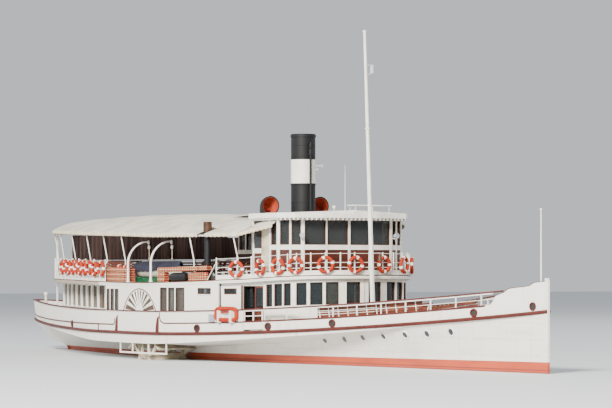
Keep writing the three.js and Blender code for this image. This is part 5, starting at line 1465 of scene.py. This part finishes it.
def wing_cloth(flip):
    """The fore corner of the awning beside the wheelhouse: straight across from the outer edge to
    the inner one, with a sag of 2 mm between them, and arched like the awning where they meet."""
    x = np.linspace(WING_START, WING_STOP, 14)
    outer, low, high = (wing_at(k)(x) for k in (1, 2, 3))
    t = np.linspace(0, 1, 6)[:, None]
    y = outer + (WING_INNER - outer) * t
    crown = 0.5345 + 0.084 * (1 - (y / WING[0, 1]) ** 2)
    blend = np.clip((x - WING_START) / 0.055, 0, 1)
    z = (1 - blend) * crown + blend * (low + (high - low) * t - 0.002 * np.sin(np.pi * t))
    return np.stack([np.broadcast_to(x, z.shape), -y * flip, z], -1)


for side, flip in SIGNS:
    valance(-2.05, 0.31 if flip > 0 else 0.543, f"valance_{side}", flip)
    grid = wing_cloth(flip)
    wing_faces = net(*grid.shape[:2])
    cloth_sheet(f"awning_wing_{side}", grid, wing_faces, canvas, (0.23, 0.07), on="awning_cloth",
                area=faces_area(grid, wing_faces))
    valance(WING_START, WING_STOP, f"valance_wing_{side}", flip, wing_at(1), wing_at(2))
valance(0.36, 0.543, "valance_fore_starboard", 1)

# Side curtain: dark cloth drawn along the port side under the awning, inboard of its stanchions
# and of the davits, hung from the frame in widths that overlap.
dusk_curtain = woven("dusk_curtain", (0.18, 0.115, 0.105), (0.085, 0.052, 0.052), 0.9, 2600, 30)
drawn_x = np.linspace(-1.93, 0.15, 60)
clear_of_davits = np.interp(drawn_x, [-0.6, -0.45], [0.5, 0.365])
drawn = np.column_stack([drawn_x, np.minimum(awning_half(drawn_x) - 0.047, clear_of_davits)])
drawn_run = run_of(drawn)[-1]
WIDTHS, LAP = 6, 0.004
for k in range(WIDTHS):
    start = max(k / WIDTHS * drawn_run - LAP, 0)
    stop = min((k + 1) / WIDTHS * drawn_run + LAP, drawn_run)
    x = float(at(drawn, (start + stop) / 2)[0])
    curtain(f"side_curtain_{k}", drawn, start, stop, 0.435, float(awning_low(x)) - 0.019, dusk_curtain,
            0.026, 0.0032)

# Davits: a bent steel pipe in a deck collar, with an eye at its tip and a tackle of two rope parts
# that ends in a hook. Each turns about its own post.
rope_tan = plain_paint("rope_tan", (0.42, 0.34, 0.22), 0.8, 0.3, 200)
DAVIT_Y, BLOCK_Y, DAVIT_BEND = -0.497, -0.396, 0.096
bend = np.linspace(0, np.pi / 2, 18)
finial = lathe([(0.002, 0.496), (0.005, 0.499), (0.0052, 0.508), (0.003, 0.512), (0.0008, 0.5135)], 16)
block = lathe([(0.0012, 0.4735), (0.005, 0.476), (0.0058, 0.4835), (0.005, 0.491), (0.0012, 0.4935)], 14)
hook = lathe([(0.001, 0.429), (0.0034, 0.4305), (0.0034, 0.435), (0.001, 0.4365)], 12)
for name, x in (("davit_aft", -0.206), ("davit_fore", 0.017)):
    foot = float(upper_top(x))
    arm = np.array([(x, DAVIT_Y, foot + 0.001), (x, DAVIT_Y, foot + 0.03), (x, DAVIT_Y, 0.404)]
                   + [(x, -0.401 - DAVIT_BEND * np.cos(a), 0.411 + DAVIT_BEND * np.sin(a)) for a in bend])
    collar = lathe([(0.0085, foot + 0.0008), (0.0085, foot + 0.003), (0.0062, foot + 0.0045),
                    (0.0062, foot + 0.012), (0.005, foot + 0.0125)], 20)
    pipe = [rod(arm, np.interp(np.arange(21), [0, 4, 20], [0.005, 0.0048, 0.0034]), 14),
            on_axis(collar, x, DAVIT_Y), on_axis(finial, x, -0.399), on_axis(block, x, BLOCK_Y)]
    tackle = [rod([(x + d, BLOCK_Y, 0.4965), (x + d * 0.4 + 0.002, -0.3965, 0.4345)], 0.001, 6)
              for d in (-0.0022, 0.0022)]
    tackle.append(on_axis(hook, x + 0.002, -0.3965))
    for side, flip in SIDES:
        body = f"{name}_{side}"
        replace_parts(make(f"{body}_pipe", flip(pipe), white_paint, body), body)
        make(f"{body}_tackle", flip(tackle), rope_tan, body)

# Dinghies: clinker boats in cream paint on green chocks, each under a navy canvas cover that
# hangs over its gunwale.
BOAT = np.array([
    # place along the boat from -1 to 1, breadth, keel and cover heights as parts of the whole
    [-1, 0.5, 0.3, 0.92], [-0.8, 0.72, 0.1, 0.98], [-0.4, 0.96, 0, 1], [0.1, 1, 0, 1],
    [0.55, 0.8, 0.04, 1.02], [0.85, 0.42, 0.16, 1.06], [1, 0.05, 0.5, 1.05],
])
BOAT_X, BOAT_Y, BOAT_REACH, BOAT_HALF, GUNWALE = -0.118, -0.386, 0.205, 0.064, 0.398
boat_half, boat_keel, boat_cover = (fair(BOAT[:, 0], BOAT[:, k]) for k in (1, 2, 3))


def boat_hull():
    """Sections along the boat: across, breadth times sin(a)^0.75, and up, from keel to gunwale,
    with (1 - cos(a))^1.15, for a from 0 at the keel to a quarter turn."""
    along = np.linspace(-1, 1, 41)[:, None]
    a = np.linspace(0, np.pi / 2, 12)[None]
    half, low = BOAT_HALF * boat_half(along), 0.346 + 0.052 * boat_keel(along)
    y = half * np.sin(a) ** 0.75
    z = low + (GUNWALE - low) * (1 - np.cos(a)) ** 1.15
    x = np.broadcast_to(BOAT_X + BOAT_REACH * along, y.shape)
    left, right = (np.stack([x, BOAT_Y + sign * y, z], -1) for sign in (-1, 1))
    return skin(np.concatenate([left[:, ::-1], right[:, 1:]], 1))


def boat_cloth():
    """The cover: s runs from -1 to 1 over the boat, with the crown at 1 - |s|^2.6, and a skirt on
    each side that hangs straight down with slow folds."""
    along = np.linspace(-1, 0.985, 60)
    brim = GUNWALE + 0.0005
    half, rise = BOAT_HALF * boat_half(along) + 0.0016, 0.0225 * boat_cover(along)
    s = np.linspace(-1, 1, 21)[:, None]
    y = s * half
    z = brim + rise * (1 - np.abs(s) ** 2.6) - 0.0012 * np.sin(along * 19) ** 2 * (1 - s ** 2)
    fall = np.linspace(1, 0, 6)[:-1, None]
    hang_by = np.interp(along, [-1, -0.6, 0.1, 0.9], [0.015, 0.021, 0.022, 0.01])
    hang_by += 0.0012 * np.sin(along * 27)
    skirt = -half - 0.0009 - 0.001 * fall * (1 + np.sin(along * 43))
    skirt_z = brim - hang_by * fall
    y = np.concatenate([skirt, y, -skirt[::-1]])
    z = np.concatenate([skirt_z, z, skirt_z[::-1]])
    return np.stack([np.broadcast_to(BOAT_X + BOAT_REACH * along, y.shape), y + BOAT_Y, z], -1)


navy_canvas = woven("navy_canvas", (0.0075, 0.009, 0.024), (0.0045, 0.0055, 0.015), 0.8, 2000, 30)
boat_cream = Finish("boat_cream")
strakes = boat_cream.node("ShaderNodeMath", {0: boat_cream.apart()[2] * 125.0}, operation="FRACT")
boat_wear = boat_cream.soft(boat_cream.noise(30, 3), 0.4, 0.8)
boat_cream.set(Base_Color=boat_cream.between(boat_wear, (0.74, 0.69, 0.57), (0.56, 0.5, 0.39)),
               Roughness=0.45)
boat_cream.bump(strakes, 0.0012)
chock_green = plain_paint("chock_green", (0.004, 0.085, 0.03), 0.6, 0.4, 50)
cover_grid = boat_cloth()
cover_size = (float(run_of(cover_grid[:, 30])[-1]), 2 * BOAT_REACH)
chocks = [box((x - 0.005, -0.434, float(upper_top(x)) + 0.0006), (x + 0.005, -0.338, 0.357))
          for x in (-0.21, -0.026)]
chocks += [box((-0.245, y, float(upper_top(BOAT_X)) + 0.0008), (0.01, y + 0.004, 0.352))
           for y in (-0.44, -0.336)]
for (side, flip), (_, sign) in zip(SIDES, SIGNS):
    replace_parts(make(f"dinghy_hull_{side}", flip([boat_hull()]), boat_cream.material),
                f"dinghy_{side}")
    make(f"dinghy_chocks_{side}", flip(chocks), chock_green)
    cloth_sheet(f"dinghy_cover_{side}", cover_grid * (1, sign, 1), net(*cover_grid.shape[:2]), navy_canvas,
                cover_size, "draped", f"dinghy_hull_{side}")

# Mast: a tapered white pole stepped on the deck, with a truck, a lamp on a bracket ahead of it
# and a ring of cleats above the benches.
MAST_X, MAST_TOP, MAST_RAKE = 1.05, 1.357, 0.071
foot = float(deck_top(MAST_X))


def mast_at(z):
    """The x of the raked mast's axis at a height."""
    return MAST_X - MAST_RAKE * (z - foot) / (MAST_TOP - foot)


heights = np.array([foot + 0.0012, 0.26, 0.45, 0.8, 1.1, MAST_TOP])
mast_line = np.column_stack([mast_at(heights), 0 * heights, heights])
partners = lathe([(0.0165, foot + 0.001), (0.0165, foot + 0.004), (0.0118, foot + 0.01),
                  (0.0118, foot + 0.02)], 24)
truck = lathe([(0.0062, 1.35), (0.008, 1.353), (0.008, 1.358), (0.003, 1.361)], 16)
pole = [rod(mast_line, np.interp(heights, [foot, MAST_TOP], [0.0105, 0.0055]), 24),
        on_axis(partners, 1.0495), on_axis(truck, mast_at(1.355))]
for z in (0.445, 0.955):
    ring = lathe([(0.0085, z), (0.0105, z + 0.001), (0.0105, z + 0.005), (0.0085, z + 0.006)], 20)
    pole.append(on_axis(ring, mast_at(z + 0.003)))
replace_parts(make("mast_pole", pole, white_paint), "mast")
LAMP_X, BELL_X = 1.04, 1.1
lamp_arm = [rod([(mast_at(1.178) + 0.004, 0, 1.178), (LAMP_X, 0, 1.178)], 0.0014),
            rod([(mast_at(1.216) + 0.004, 0, 1.216), (LAMP_X, 0, 1.216)], 0.0012),
            rod([(mast_at(0.452) + 0.006, 0.001, 0.452), (BELL_X + 0.005, 0.001, 0.452)], 0.0012)]
make("mast_lamp_arm", lamp_arm, steel_grey)
lamp = lathe([(0.006, 1.179), (0.0085, 1.18), (0.0085, 1.206), (0.01, 1.207), (0.006, 1.214),
              (0.0015, 1.216)], 20)
make("mast_lamp", [on_axis(lamp, LAMP_X)], steel_grey)
bell = lathe([(0.011, 0.422), (0.0085, 0.429), (0.007, 0.44), (0.003, 0.447), (0.0012, 0.4515)], 20)
make("mast_bell", [on_axis(bell, BELL_X, 0.001)], pipe_copper)
truck = lathe([(0.002, 0.602), (0.0048, 0.605), (0.0048, 0.609), (0.0015, 0.6115)], 14)
make("jackstaff_truck", [on_axis(truck, 2.284)], white_paint)

# Foredeck: back to back benches of varnished boards on white iron frames, and mooring gear of
# black iron, a windlass with two drums and a pair of bollards each side.
bench_line = np.array([[1.085, 0.0], [1.5, 0.0]])
bench_foot = lifted(deck_top, 0.0005)
BENCH_BOARDS = [(-0.062, -0.044, 0.04, 0.043), (-0.04, -0.022, 0.04, 0.043),
                (-0.0075, -0.0045, 0.054, 0.066), (-0.0075, -0.0045, 0.07, 0.082)]
boards = [strip(bench_line, -y1, -y0, lifted(bench_foot, z0), lifted(bench_foot, z1))
          for y0, y1, z0, z1 in BENCH_BOARDS]
irons = []
for x in np.linspace(1.095, 1.49, 6):
    low = float(bench_foot(x))
    irons += [rod([(x, -0.0615, low + 0.0395), (x, -0.04, low + 0.001)], 0.0021, 6),
              rod([(x, -0.002, low + 0.082), (x, -0.025, low + 0.001)], 0.0021, 6),
              rod([(x, -0.062, low + 0.0385), (x, -0.001, low + 0.0385)], 0.0018, 6)]
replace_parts(make_both("foredeck_boards", boards, bench_wood), "foredeck_bench")
make_both("foredeck_irons", irons, white_paint)
side_line = edge(1.06, 1.64, 0.024)
side_boards = [strip(side_line, -0.0014, 0.0014, lifted(bench_foot, z0), lifted(bench_foot, z1))
               for z0, z1 in ((0.04, 0.053), (0.0555, 0.0685), (0.071, 0.084))]
side_boards += [strip(side_line, -0.04 + k * 0.012, -0.03 + k * 0.012, lifted(bench_foot, 0.0345),
                      lifted(bench_foot, 0.037)) for k in range(3)]
side_irons = []
for x in np.linspace(1.076, 1.611, 11):
    spot, low = -deck_half(x), float(bench_foot(x))
    side_irons += [rod([(x - 0.006, spot + 0.0205, low + 0.085), (x + 0.004, spot + 0.0215, low + 0.034),
                        (x + 0.01, spot + 0.019, low + 0.0008)], 0.0022, 6),
                   rod([(x, spot + 0.0225, low + 0.033), (x, spot + 0.065, low + 0.033)], 0.0016, 6),
                   rod([(x, spot + 0.063, low + 0.033), (x, spot + 0.06, low + 0.0008)], 0.0018, 6)]
make_both("side_bench_boards", side_boards, bench_wood)
make_both("side_bench_irons", side_irons, white_paint)
drum = np.array([(0.013, -0.04), (0.013, -0.036), (0.007, -0.032), (0.007, -0.018), (0.012, -0.014),
                 (0.012, -0.008), (0.0055, -0.006), (0.0055, 0.006), (0.012, 0.008), (0.012, 0.014),
                 (0.007, 0.018), (0.007, 0.032), (0.013, 0.036), (0.013, 0.04)])
DRUM_X = 1.78
foot = float(deck_top(DRUM_X))
windlass = [stood(lathe(drum, 22), (DRUM_X, 0, foot + 0.03), (0, 1, 0))]
windlass += [box((DRUM_X - 0.008, y, foot + 0.0004), (DRUM_X + 0.008, y + 0.004, foot + 0.034))
             for y in (-0.03, 0.026)]
bollard = lathe([(0.0075, 0.0004), (0.0065, 0.004), (0.006, 0.024), (0.0082, 0.027), (0.008, 0.031),
                 (0.002, 0.033)], 16)
posts = [stood(bollard, [(x, 0.03 - deck_half(x), deck_top(x)) for x in (1.9, 1.935)], (0, 0, 1))]
posts.append(box((1.886, 0.02 - deck_half(1.9), float(deck_top(1.886)) + 0.0003),
                 (1.949, 0.044 - deck_half(1.9), float(deck_top(1.949)) + 0.003)))
make("mooring_gear", windlass + posts + mirrored(posts), black_paint)
